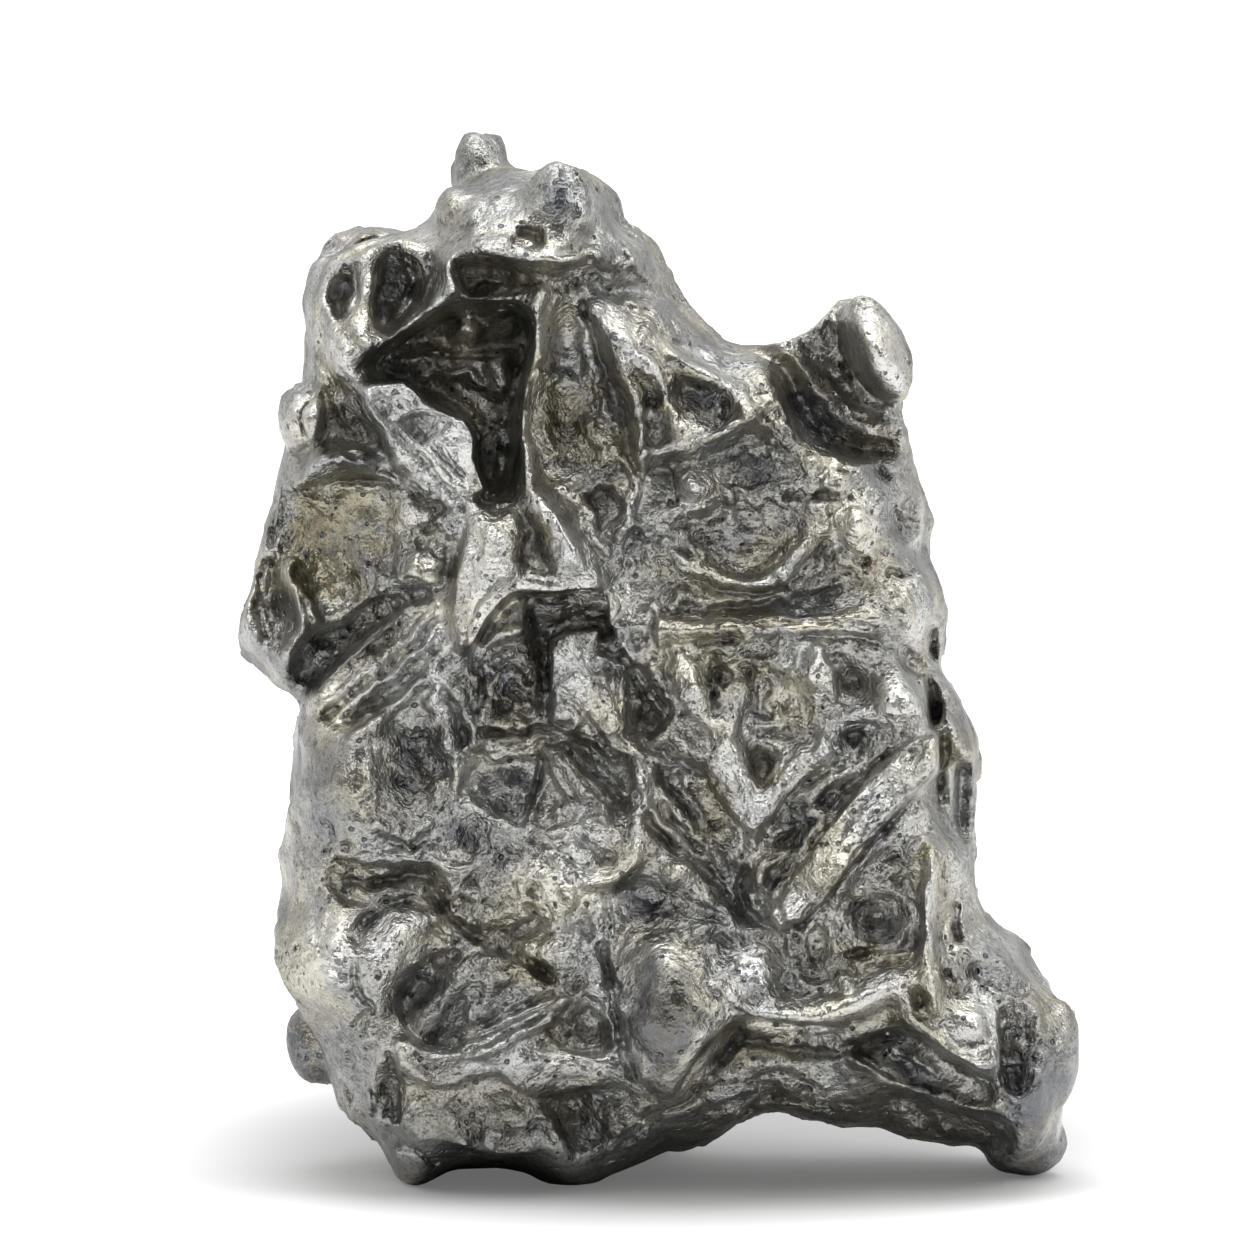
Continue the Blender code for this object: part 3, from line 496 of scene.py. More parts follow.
def fan() -> list[Form]:
    """The forms of the slope at the upper right, which spread like a fan."""
    return [
        Fold(0.9, 0.7, [(-2.6, 43.9), (-1.5, 42.5), (-0.5, 41.4), (0.3, 40.3), (0.7, 39.0), (1.0, 38.0)]),
        Fold(0.9, 0.6, [(-0.3, 43.0), (0.6, 42.0), (1.5, 41.2), (2.4, 40.6), (3.2, 40.3), (4.0, 39.6),
            (4.5, 39.1)]),
        Fold(0.24, -0.5, [(-1.2, 42.8), (-1.1, 42.1), (-0.4, 41.7), (0.2, 41.1), (0.5, 40.5)]),
        Fold(0.24, -0.4, [(0.4, 42.6), (1.3, 41.9), (2.3, 41.3), (3.4, 40.9)]),
        Fold(0.7, 0.2, [(0.2, 43.9), (1.6, 42.9), (3.0, 41.9), (4.6, 41.2)]),
        Boss(1.9, 37.9, 1.0, 0.7, 0.4, 15, F), Boss(1.9, 37.2, 0.24, 0.24, -0.4),
        Boss(3.1, 41.9, 0.8, 0.45, 0.4, -30, F), Boss(3.2, 41.8, 0.3, 0.22, -0.4),
        Boss(0.6, 40.4, 0.4, 0.4, 0.35),
        Fold(0.8, 0.6, [(-0.9, 36.5), (0.2, 36.8), (1.6, 37.2), (2.7, 37.4), (3.5, 37.9), (4.3, 38.4),
            (4.7, 39.0)]),
        Fold(0.6, -0.35, [(-0.2, 35.9), (1.6, 36.2), (2.8, 36.5), (3.9, 37.0), (5.2, 37.6)]),
        Boss(4.7, 39.6, 0.4, 0.9, -0.7, 30), Boss(5.4, 38.7, 0.7, 0.4, -0.7),
        Rubble(6.4, 38.6, 2.2, 2.2, 0.7, 0.4, 0.7, 24), Boss(4.7, 35.8, 1.7, 1.6, 0.5),
        Fold(0.35, 0.3, [(3.0, 36.2), (4.2, 37.1), (5.6, 36.9), (6.3, 35.6)], S),
        Fold(0.35, 0.5, [(3.5, 34.8), (3.7, 33.3)], S), Boss(1.9, 35.0, 1.4, 1.3, 0.5),
        Fold(0.24, -0.4, [(0.4, 35.9), (0.8, 34.9), (0.6, 34.2)]),
        Fold(0.45, 0.6, [(-1.5, 33.0), (0.2, 33.8), (1.0, 33.9)], S),
        Fold(0.45, 0.5, [(-0.8, 32.7), (0.3, 33.1), (1.2, 33.8), (2.5, 34.0)], S),
        Fold(0.45, 0.4, [(0.4, 32.5), (1.8, 33.0), (3.0, 33.2)], S),
        Fold(0.24, -0.6, [(-1.9, 33.2), (-0.7, 32.5), (0.4, 32.0), (1.6, 31.7)]),
    ]


def horn() -> list[Form]:
    """The forms of the horn, of the dark bowl behind the slope and of the flank below."""
    pocket = [(11.0, 34.1), (12.2, 34.6), (13.2, 33.9), (13.6, 33.2), (13.2, 32.8), (12.3, 32.3),
              (11.8, 33.0), (11.1, 33.7)]
    return [
        Fold(1.0, 1.7, [(5.4, 42.6), (6.6, 41.7), (7.6, 40.5), (8.3, 39.5), (9.0, 38.7), (10.4, 37.9),
            (12.0, 37.5)], S),
        Fold(0.3, 0.7, [(8.5, 40.2), (9.0, 39.6), (9.6, 39.0), (10.5, 38.8)], S),
        Fold(0.35, 0.5, [(9.1, 44.3), (9.2, 43.0), (9.6, 42.1), (10.0, 41.3), (9.9, 40.3)], S),
        Fold(0.3, -0.3, [(9.8, 43.6), (9.9, 42.6), (10.3, 41.6)]), Boss(10.85, 41.7, 0.22, 0.22, -0.2),
        Boss(10.55, 43.6, 0.28, 0.25, -0.2), Boss(12.2, 38.7, 0.4, 0.35, -0.8),
        Boss(12.4, 37.8, 0.45, 0.8, 0.7, 0, F), Plate(-0.7, 0.3, pocket, 0.3, 0.3),
        Fold(0.35, 0.6, [(11.0, 34.2), (11.8, 33.2), (12.3, 32.4), (13.2, 32.7), (13.7, 33.2),
            (13.2, 34.0)], S),
        Boss(9.8, 33.0, 1.3, 1.7, 0.45, -15), Boss(7.6, 36.2, 0.7, 0.6, 0.4, 0, F),
        Boss(8.9, 36.7, 0.5, 0.5, 0.4, 0, F), Boss(9.0, 35.4, 0.8, 0.6, 0.45, 0, F),
        Boss(12.9, 35.7, 0.25, 0.4, -0.4), Boss(11.4, 36.0, 1.2, 1.3, -0.6),
        Fold(0.5, 0.6, [(6.2, 35.0), (7.2, 35.3), (8.2, 35.2), (9.0, 34.8)], S),
        Fold(0.26, -0.7, [(6.6, 34.65), (8.2, 34.6), (8.8, 34.5)]),
        Fold(0.45, 0.5, [(6.3, 34.3), (8.3, 34.0), (8.9, 34.3)], S),
        Fold(0.26, -0.8, [(11.5, 30.8), (12.4, 30.8), (13.4, 31.1)]), Boss(12.3, 31.6, 1.0, 0.5, -0.6),
        Boss(9.5, 30.6, 0.9, 0.5, -0.4),
        Fold(0.26, -0.6, [(8.6, 34.0), (8.7, 33.0), (9.2, 32.0), (10.4, 31.3)]),
        Rubble(8.2, 36.0, 2.6, 1.8, 0.7, 0.35, 0.6, 25), Rubble(10.8, 31.4, 2.4, 1.6, 0.8, 0.3, 0.5, 26),
    ]


def streaks() -> list[Form]:
    """The forms of the basin on the right and of the flowing bands under it."""
    return [
        Boss(4.2, 32.3, 4.6, 1.9, 1.1, 4),
        Fold(0.7, 0.5, [(1.2, 31.3), (3.0, 30.5), (4.5, 30.2), (5.7, 30.3), (6.4, 30.9), (7.0, 31.9),
            (7.9, 32.8), (8.6, 33.6)], S),
        Fold(0.26, -0.6, [(1.7, 30.5), (3.2, 29.9), (4.6, 29.7), (6.0, 29.9), (6.9, 30.5), (7.5, 31.5),
            (8.4, 32.3)]),
        Boss(4.6, 31.9, 2.2, 0.8, -0.5, 5),
        Fold(1.2, 0.4, [(0.3, 28.2), (3.0, 28.1), (6.0, 28.2), (9.0, 28.6), (11.0, 28.6)]),
        Fold(0.26, -0.5, [(0.4, 28.8), (2.5, 28.8), (4.0, 29.0), (6.0, 29.3), (9.0, 29.9)]),
        Fold(0.24, -0.5, [(2.0, 27.3), (4.0, 27.2), (6.0, 27.6), (9.0, 27.7), (11.5, 27.2)]),
        Fold(0.24, -0.5, [(5.0, 28.2), (7.5, 28.4), (10.5, 28.1)]),
        Fold(0.5, 0.4, [(2.4, 29.5), (5.0, 29.5), (8.0, 30.1), (10.2, 30.8)], S),
        Boss(1.0, 29.3, 0.7, 0.4, 0.5, 10, F), Boss(2.2, 29.4, 0.5, 0.3, 0.4, 0, F),
        Boss(13.2, 28.8, 1.1, 2.4, 0.5, 0, F), Boss(13.0, 26.7, 0.85, 0.8, 0.5, 0, F),
        Fold(0.3, -0.9, [(13.9, 28.2), (13.8, 27.4), (13.7, 26.5)]),
        Fold(0.35, -1.0, [(12.5, 26.1), (13.4, 25.8), (14.1, 25.9)]),
        Plate(-0.3, 0.3, [(8.4, 26.7), (9.2, 26.7), (9.9, 25.9), (10.6, 25.1), (10.5, 24.2), (9.6, 24.1),
            (9.0, 24.4), (9.0, 25.3)], 0.4, 0.0),
        Fold(0.24, 0.4, [(8.9, 26.4), (9.6, 25.2), (9.8, 24.4)], S),
        Fold(0.5, 0.8, [(7.9, 27.0), (8.6, 25.8), (8.9, 24.5)], S), Boss(12.2, 24.6, 1.5, 1.8, 0.6, 0, F),
        Fold(0.32, -0.9, [(13.7, 25.3), (13.9, 24.2), (13.8, 23.0)]), Boss(7.7, 25.8, 1.1, 1.4, 0.6),
        Boss(10.2, 22.3, 1.4, 1.2, 0.3), Fold(0.5, 0.5, [(8.6, 23.2), (9.8, 23.8), (11.2, 23.3)], S),
        Fold(0.6, 0.7, [(3.4, 26.4), (4.2, 25.5), (4.0, 24.2), (3.6, 23.0)], S),
        Boss(5.3, 24.9, 0.9, 1.1, 0.4),
        Fold(0.24, -0.6, [(4.6, 26.0), (4.5, 25.0), (4.8, 24.0), (5.6, 23.6)]),
        Fold(0.5, 0.5, [(6.2, 26.2), (6.3, 25.2), (6.0, 24.0)], S),
        Fold(0.24, -0.5, [(5.0, 22.8), (6.2, 22.7), (7.3, 22.9)]), Boss(1.6, 25.1, 1.1, 2.2, 0.6, 18, F),
        Fold(0.26, -0.7, [(0.3, 27.0), (0.4, 25.8), (0.9, 24.4), (1.8, 23.2), (2.4, 22.9)]),
        Fold(0.26, -0.5, [(2.8, 26.6), (2.9, 25.4), (2.6, 24.0)]),
        Rubble(6.4, 26.7, 5.0, 1.0, 0.9, 0.3, 0.4, 27),
    ]


def beam() -> list[Form]:
    """The forms of the long slanting beam on the right and of what lies round it."""
    bar = [(13.8, 22.9), (14.0, 21.6), (12.6, 20.1), (11.2, 19.0), (9.9, 17.6), (8.6, 16.2),
           (7.7, 15.1), (6.9, 14.0), (6.3, 13.1), (5.7, 13.7), (6.1, 15.0), (6.9, 16.3),
           (7.7, 17.4), (8.8, 18.8), (10.0, 20.1), (11.3, 21.3), (12.4, 22.3)]
    return [
        Grain(0.5, 0.35, 49, bar, 9),
        Fold(0.24, -0.7, [(12.0, 22.2), (10.4, 20.9), (8.7, 19.4), (7.4, 18.0), (6.6, 16.9)]),
        Fold(0.26, -0.8, [(13.9, 20.9), (12.6, 19.6), (11.4, 18.4), (10.3, 17.1), (9.0, 15.7), (8.0, 14.5),
            (7.0, 13.2)]),
        Fold(0.5, 0.5, [(12.4, 18.9), (11.2, 17.6), (10.0, 16.2), (8.8, 14.6), (7.6, 13.2)], S),
        Fold(0.24, -0.5, [(11.3, 21.7), (12.7, 21.9)]), Fold(0.24, -0.5, [(12.9, 21.8), (12.7, 20.9)]),
        Boss(15.3, 22.3, 1.0, 1.0, 0.6, 0, F),
        Plate(-0.3, 0.3, [(15.0, 21.3), (15.9, 21.1), (15.6, 20.2), (15.2, 19.5), (15.8, 19.1),
            (15.6, 18.4), (15.2, 17.6), (14.8, 18.4), (14.9, 19.5)]),
        Fold(0.25, -0.7, [(14.4, 22.9), (14.3, 21.5), (14.1, 20.6), (13.9, 19.5)]),
        Fold(1.0, 0.4, [(3.2, 22.8), (3.7, 21.5), (4.1, 20.4), (4.5, 19.2), (4.6, 18.0)], F),
        Fold(0.85, 0.3, [(4.9, 18.4), (5.5, 19.5), (6.3, 20.7), (7.3, 21.5), (8.2, 22.1)], F),
        Plate(-0.2, 0.6, [(4.5, 22.2), (5.3, 21.8), (5.7, 21.0), (5.3, 20.2), (4.9, 19.8),
            (4.7, 20.6)], -0.1, 0.0),
        Fold(0.26, 0.5, [(3.3, 22.7), (3.8, 21.6), (4.1, 20.6), (4.5, 19.5)], S),
        Boss(5.9, 22.6, 0.9, 0.6, -0.3, -20), Boss(7.9, 19.4, 1.6, 0.9, 0.4, 25),
        Fold(0.45, 0.7, [(6.2, 18.8), (7.0, 19.7), (8.2, 20.3), (9.4, 20.8)], S),
        Fold(0.45, 0.6, [(5.8, 17.8), (7.0, 18.3), (8.2, 18.8)], S),
        Fold(0.24, -0.7, [(5.4, 18.3), (6.4, 19.2), (7.6, 19.2), (8.8, 19.9)]),
        Fold(0.65, 1.0, [(8.3, 18.5), (7.5, 17.6), (7.0, 16.9), (5.9, 16.5), (5.3, 16.2), (4.9, 15.4),
            (4.75, 14.6), (4.8, 14.1), (5.6, 13.8), (6.2, 13.4)], S),
        Fold(0.26, -0.9, [(4.2, 16.0), (4.1, 15.0), (4.2, 14.1), (5.0, 13.4), (5.8, 13.0)]),
        Boss(6.0, 15.4, 0.9, 1.0, -0.3), Fold(0.24, 0.4, [(5.5, 14.4), (6.0, 15.3), (6.8, 15.9)], S),
        Fold(0.5, 0.6, [(13.9, 18.3), (15.0, 16.5), (16.0, 14.5), (17.0, 12.5)]),
        Boss(12.6, 17.6, 1.4, 1.2, 0.4, 30), Fold(0.5, 0.5, [(11.4, 17.3), (12.2, 18.3), (13.3, 19.0)], S),
        Boss(10.6, 16.9, 0.9, 0.8, 0.4, 0, F), Rubble(9.4, 21.6, 2.6, 1.6, 0.8, 0.3, 0.5, 28),
    ]


def prow() -> list[Form]:
    """The forms of the overhanging wedge in the middle and of the cave below it."""
    return [
        Plate(1.1, 0.5, [(-9.6, 33.5), (-8.4, 34.4), (-7.3, 34.3), (-7.0, 32.5), (-7.2, 31.0),
            (-8.0, 30.2), (-8.9, 29.2), (-9.4, 28.1), (-9.8, 27.1), (-10.3, 27.2), (-10.5, 28.5),
            (-10.2, 30.5), (-9.9, 32.0)], 0.4, 0.0),
        Plate(-0.8, 0.6, [(-6.9, 34.2), (-6.2, 33.5), (-5.9, 32.0), (-5.2, 31.1), (-5.2, 30.7),
            (-6.9, 30.9)], -0.3, 0.1),
        Fold(1.3, 1.3, [(-6.0, 34.4), (-5.1, 33.5), (-4.5, 32.3), (-4.0, 31.3), (-3.2, 30.4)], S),
        Fold(0.5, 0.7, [(-7.3, 34.1), (-7.0, 32.6), (-7.1, 31.0), (-7.4, 30.3)], S),
        Fold(0.24, -0.4, [(-4.0, 33.6), (-3.4, 32.4), (-2.9, 31.4)]),
        Fold(0.5, 0.5, [(-3.4, 33.2), (-2.7, 32.0), (-2.0, 31.0)], S), Boss(-7.6, 24.7, 1.0, 1.2, -0.5),
        Fold(0.3, 0.4, [(-8.7, 24.2), (-7.8, 25.9), (-6.8, 25.6), (-6.3, 24.2)], S),
        Fold(0.24, -0.5, [(-8.4, 23.4), (-7.4, 24.2), (-6.4, 23.4)]),
        Fold(0.5, 0.6, [(-8.3, 26.6), (-7.2, 26.9), (-6.4, 26.2), (-6.2, 25.0)], S),
        Boss(-7.2, 27.9, 0.6, 0.5, 0.9, 20, F),
        Fold(0.35, 0.6, [(-10.1, 27.2), (-9.2, 26.6), (-8.6, 26.9)], S),
        Boss(-10.1, 26.2, 0.5, 0.5, 0.5, 0, F), Boss(-10.1, 26.2, 0.22, 0.22, -0.5),
        Plate(0.5, 0.25, [(-2.7, 29.8), (-2.2, 29.9), (-1.9, 29.3), (-2.2, 28.4), (-2.4, 28.0)]),
        Boss(-1.3, 27.7, 1.2, 1.1, 0.4, 0, F), Boss(-0.9, 27.6, 0.6, 0.6, -0.5),
        Fold(0.35, 0.7, [(-0.2, 29.0), (0.0, 28.2), (0.1, 27.4), (0.3, 26.6), (-0.3, 26.0)], S),
        Fold(0.28, -1.0, [(-2.9, 27.0), (-1.8, 26.5), (-0.9, 25.9), (-0.5, 25.3), (0.1, 24.5),
            (0.5, 24.1)]),
        Plate(0.9, 0.25, [(-5.3, 27.6), (-4.4, 27.9), (-3.9, 26.9), (-3.2, 25.6), (-3.2, 24.5),
            (-3.3, 23.4), (-4.2, 24.5), (-5.3, 25.4)], 0.3, 0.0),
        Grain(0.5, 0.25, -60, [(-5.3, 27.6), (-4.4, 27.9), (-3.2, 25.6), (-3.3, 23.4), (-5.3, 25.4)], 11),
        Plate(-0.7, 0.25, [(-2.7, 26.3), (-1.9, 26.8), (-1.9, 25.6), (-2.0, 24.4), (-2.6, 25.4)]),
        Plate(0.6, 0.25, [(-1.7, 26.2), (-1.5, 24.5), (-1.7, 23.0), (-2.5, 22.8), (-3.2, 23.3),
            (-3.1, 24.9), (-2.6, 25.2), (-2.0, 24.3)], -0.3, 0.0),
        Plate(0.5, 0.25, [(-5.1, 24.6), (-4.2, 24.2), (-3.6, 23.2), (-4.6, 22.8), (-5.2, 23.4)], 0.3, 0.2),
        Fold(0.26, -0.8, [(-1.4, 25.8), (-0.9, 25.2), (-0.6, 24.2), (-1.0, 23.1), (-1.5, 22.8)]),
        Boss(-0.4, 23.7, 0.5, 0.9, -0.4, 15),
        Fold(0.4, 0.7, [(0.8, 24.4), (0.9, 23.7), (0.5, 23.1), (0.0, 22.4)], S),
        Fold(0.3, -0.9, [(-8.4, 22.9), (-6.8, 22.8), (-5.5, 23.1), (-4.4, 23.3)]),
        Fold(0.4, 0.6, [(-8.3, 21.6), (-6.5, 21.8), (-5.4, 22.0)], S),
        Boss(-3.7, 22.7, 0.65, 0.6, 0.6, 0, F), Rubble(-2.0, 25.6, 2.6, 3.2, 0.8, 0.35, 0.6, 29),
    ]


def flutes() -> list[Form]:
    """The forms of the fluted slope on the left and of the smooth cheek under it."""
    return [
        Grain(0.55, 0.65, 38, [(-17.4, 24.3), (-14.6, 27.3), (-12.2, 29.2), (-10.6, 29.2), (-10.2, 27.6),
            (-11.2, 25.8), (-13.4, 24.0), (-15.4, 23.2), (-17.0, 23.3)], 12),
        Fold(0.5, 0.7, [(-10.7, 28.0), (-12.4, 26.7), (-14.0, 25.4), (-15.6, 24.3)], S),
        Fold(0.5, 0.8, [(-10.6, 27.2), (-11.6, 25.7), (-13.0, 24.3), (-14.4, 23.2), (-15.2, 22.6)], S),
        Fold(0.4, 0.6, [(-12.4, 29.3), (-14.1, 27.6), (-16.0, 26.0), (-17.2, 25.0)], S),
        Fold(0.3, -0.7, [(-11.0, 27.0), (-12.4, 25.6), (-13.9, 24.5), (-15.2, 23.5)]),
        Fold(0.3, 0.6, [(-16.9, 24.0), (-14.3, 26.0), (-12.6, 27.4), (-11.3, 28.8)], S),
        Fold(0.26, -0.7, [(-16.6, 23.7), (-14.0, 25.7), (-12.2, 27.2), (-10.9, 28.5)]),
        Fold(0.3, 0.6, [(-16.0, 23.5), (-13.6, 25.4), (-11.9, 26.9)], S),
        Fold(0.26, -0.6, [(-17.4, 24.6), (-15.2, 26.4), (-13.2, 28.0)]),
        Plate(-0.5, 0.4, [(-14.7, 29.1), (-15.0, 28.3), (-16.2, 27.0), (-16.8, 26.2), (-18.0, 25.3),
            (-18.2, 26.0), (-17.4, 27.6), (-16.3, 28.2)]),
        Fold(0.35, -0.9, [(-17.9, 24.3), (-17.6, 23.7), (-18.0, 22.6)]),
        Fold(0.24, -0.6, [(-18.1, 18.6), (-17.8, 18.0), (-17.9, 17.0)]),
        Fold(0.24, -0.5, [(-16.7, 18.6), (-16.2, 18.2), (-16.2, 17.4), (-16.6, 16.9)]),
        Boss(-17.9, 16.4, 0.5, 0.4, -0.6),
        Fold(0.5, 0.5, [(-18.1, 15.9), (-17.0, 16.2), (-16.2, 16.6)], S),
        Rubble(-14.4, 19.2, 1.3, 1.5, 0.5, 0.3, 0.6, 30), Boss(-12.4, 21.4, 1.4, 2.5, 0.5, -12),
        Fold(0.24, -0.4, [(-13.2, 23.2), (-12.2, 22.6), (-11.4, 22.8)]),
        Fold(0.6, 0.8, [(-11.0, 25.6), (-11.3, 24.3), (-10.5, 23.7), (-10.4, 22.6), (-10.8, 21.6)], S),
        Fold(0.5, 0.8, [(-10.6, 25.6), (-9.8, 24.3), (-9.2, 23.0), (-9.1, 22.3)], S),
        Fold(0.26, -0.8, [(-10.6, 24.8), (-9.9, 23.5), (-9.7, 22.4)]),
        Plate(0.8, 0.25, [(-10.1, 21.9), (-9.1, 21.5), (-9.3, 20.9), (-9.8, 20.0), (-10.1, 19.4),
            (-10.4, 20.3)], -0.3, 0.2),
        Boss(-7.6, 20.4, 1.6, 1.4, 0.4),
        Fold(0.26, -0.8, [(-5.9, 21.9), (-6.0, 20.5), (-6.5, 19.0), (-6.8, 18.3)]),
        Fold(0.6, 0.8, [(-9.4, 19.5), (-8.5, 18.8), (-7.6, 18.3)], S), Boss(-9.9, 17.5, 1.3, 1.2, 0.3),
        Fold(0.5, 0.6, [(-8.2, 18.0), (-8.3, 16.8), (-9.0, 16.1), (-10.0, 15.9), (-11.0, 16.3)], S),
        Fold(0.5, 0.5, [(-14.0, 18.2), (-12.6, 17.6), (-11.4, 18.4), (-11.0, 19.6)], S),
        Fold(0.24, -0.5, [(-13.4, 17.6), (-12.4, 17.0), (-11.4, 17.6)]),
        Fold(0.4, 0.4, [(-14.8, 17.2), (-13.9, 16.6), (-12.6, 16.8)], S),
    ]


def flank() -> list[Form]:
    """The forms of the lobe on the left, with its flat recessed floor."""
    return [
        Fold(0.7, 0.5, [(-20.4, 27.3), (-20.6, 28.6), (-20.3, 30.6), (-19.9, 32.4), (-19.4, 34.4),
            (-18.9, 36.2)]),
        Fold(0.32, -0.9, [(-19.3, 34.8), (-19.4, 33.5), (-19.3, 32.3)]),
        Fold(0.32, -0.8, [(-19.7, 31.4), (-20.0, 30.0), (-19.9, 28.5), (-19.6, 27.6)]),
        Boss(-17.8, 38.5, 1.3, 1.8, 1.0, 0, F),
        Fold(0.3, 0.4, [(-17.1, 39.1), (-17.0, 38.2), (-17.4, 37.5), (-18.2, 37.5)], S),
        Fold(0.4, -1.4, [(-16.7, 39.8), (-16.5, 38.5), (-16.8, 37.3), (-17.8, 36.8), (-18.5, 36.9)]),
        Fold(0.8, 1.0, [(-18.0, 35.3), (-17.2, 36.0), (-16.2, 36.4), (-15.2, 36.6), (-14.6, 36.3)], S),
        Fold(0.3, -0.9, [(-17.8, 35.0), (-16.5, 35.2), (-15.0, 35.4), (-13.5, 35.3)]),
        Plate(-0.4, 0.3, [(-19.2, 34.6), (-17.0, 34.9), (-13.8, 35.0), (-13.2, 33.5), (-13.4, 32.2),
            (-14.0, 30.2), (-14.6, 29.4), (-16.0, 28.5), (-16.7, 28.1), (-17.3, 29.0), (-17.8, 30.3),
            (-18.6, 31.3), (-19.3, 32.8)], 0.05, 0.0),
        Plate(-0.4, 0.3, [(-19.2, 31.6), (-19.8, 29.5), (-19.5, 28.0), (-18.9, 27.0), (-18.3, 28.2),
            (-18.6, 29.6), (-18.8, 30.8)], 0.5, 0.0),
        Fold(0.4, 0.9, [(-18.4, 31.3), (-18.2, 30.0), (-17.95, 28.8), (-17.7, 28.0), (-18.5, 26.7)], S),
        Fold(0.3, 0.7, [(-17.9, 30.2), (-17.4, 29.2), (-16.9, 28.1), (-17.4, 27.2)], S),
        Rubble(-15.0, 30.0, 1.6, 1.3, 0.35, 0.25, 0.7, 31),
    ]


def middle() -> list[Form]:
    """The forms of the crests, leaves and broken plates at the middle of the front."""
    return [
        Fold(0.5, 0.8, [(-1.0, 21.4), (-0.85, 20.3), (-0.6, 19.2), (-0.9, 18.5)], S),
        Fold(0.6, 1.1, [(-0.3, 20.9), (0.1, 19.9), (0.8, 18.9), (1.6, 18.0), (2.4, 17.0)], S),
        Fold(0.24, 0.4, [(0.8, 20.4), (1.8, 19.4), (2.4, 18.2), (3.2, 17.4)], S),
        Fold(0.5, 0.7, [(-0.2, 19.0), (0.4, 18.1), (1.2, 17.4), (1.8, 16.8), (2.4, 16.6)], S),
        Fold(0.3, -1.0, [(-0.5, 18.4), (0.3, 17.5), (1.0, 16.8), (2.0, 16.1), (3.0, 15.3), (3.5, 14.7)]),
        Fold(0.24, -0.6, [(0.1, 19.3), (0.7, 18.5), (1.5, 17.7), (2.2, 17.0)]),
        Fold(0.3, -0.7, [(-0.8, 22.3), (0.8, 21.4), (2.0, 21.0), (2.9, 20.3)]),
        Fold(0.5, 0.5, [(0.2, 22.8), (1.6, 22.1), (2.6, 21.6)], S),
        Plate(0.6, 0.25, [(-3.8, 18.4), (-2.8, 18.9), (-1.7, 17.6), (-1.2, 16.9), (-2.0, 16.1),
            (-2.9, 17.0), (-3.7, 17.8)], 0.2, 0.3),
        Plate(0.6, 0.25, [(-5.0, 17.1), (-4.2, 17.4), (-3.4, 17.0), (-2.7, 16.2),
            (-3.8, 16.1)], -0.2, 0.3),
        Boss(-5.0, 17.9, 0.8, 0.4, 0.5, 20, F),
        Plate(0.6, 0.25, [(-5.4, 22.0), (-4.8, 22.2), (-3.2, 19.7), (-3.7, 19.1)], 0.3, 0.2),
        Plate(0.4, 0.25, [(-3.6, 21.0), (-2.9, 21.4), (-1.3, 19.8), (-2.0, 19.0)], 0.3, 0.2),
        Plate(-0.6, 0.25, [(-5.4, 20.6), (-4.6, 19.4), (-4.2, 18.6), (-5.6, 18.0), (-6.4, 18.2),
            (-6.0, 19.0)], 0.3, -0.2),
        Fold(0.28, -1.0, [(-4.7, 22.1), (-3.4, 21.0), (-2.0, 19.6), (-1.3, 19.0)]),
        Fold(0.26, -0.6, [(-3.0, 22.6), (-2.0, 21.6), (-1.2, 20.4)]),
        Fold(0.6, 0.8, [(-1.0, 19.1), (-1.2, 18.2), (-1.1, 17.3), (-1.2, 16.5), (-1.7, 15.9), (-2.3, 15.5),
            (-3.5, 15.3)], S),
        Rubble(-4.9, 14.4, 2.6, 3.2, 0.8, 0.6, 0.9, 32), Rubble(-4.4, 18.6, 1.8, 2.4, 0.8, 0.4, 0.7, 33),
        Boss(-0.9, 14.3, 1.4, 1.1, 0.3, -10), Boss(0.9, 16.0, 1.2, 1.1, 0.5, 0),
        Plate(-1.0, 0.3, [(-7.5, 12.6), (-6.9, 13.4), (-5.8, 13.6), (-5.3, 13.4), (-6.3, 12.6)]),
        Boss(-5.3, 11.8, 0.8, 1.0, 0.5, 15, F),
        Plate(0.7, 0.25, [(-3.7, 9.9), (-3.5, 11.2), (-2.8, 11.3), (-2.4, 10.0), (-1.9, 9.2), (-2.2, 8.6),
            (-3.2, 8.7)], 0.3, 0.0),
        Fold(0.24, -0.5, [(-2.6, 14.6), (-2.3, 13.4), (-2.6, 12.4)]),
        Fold(0.4, 0.5, [(2.0, 14.6), (3.1, 14.2), (3.8, 13.2)], S), Boss(2.3, 14.9, 1.0, 0.8, 0.4, 0, F),
    ]


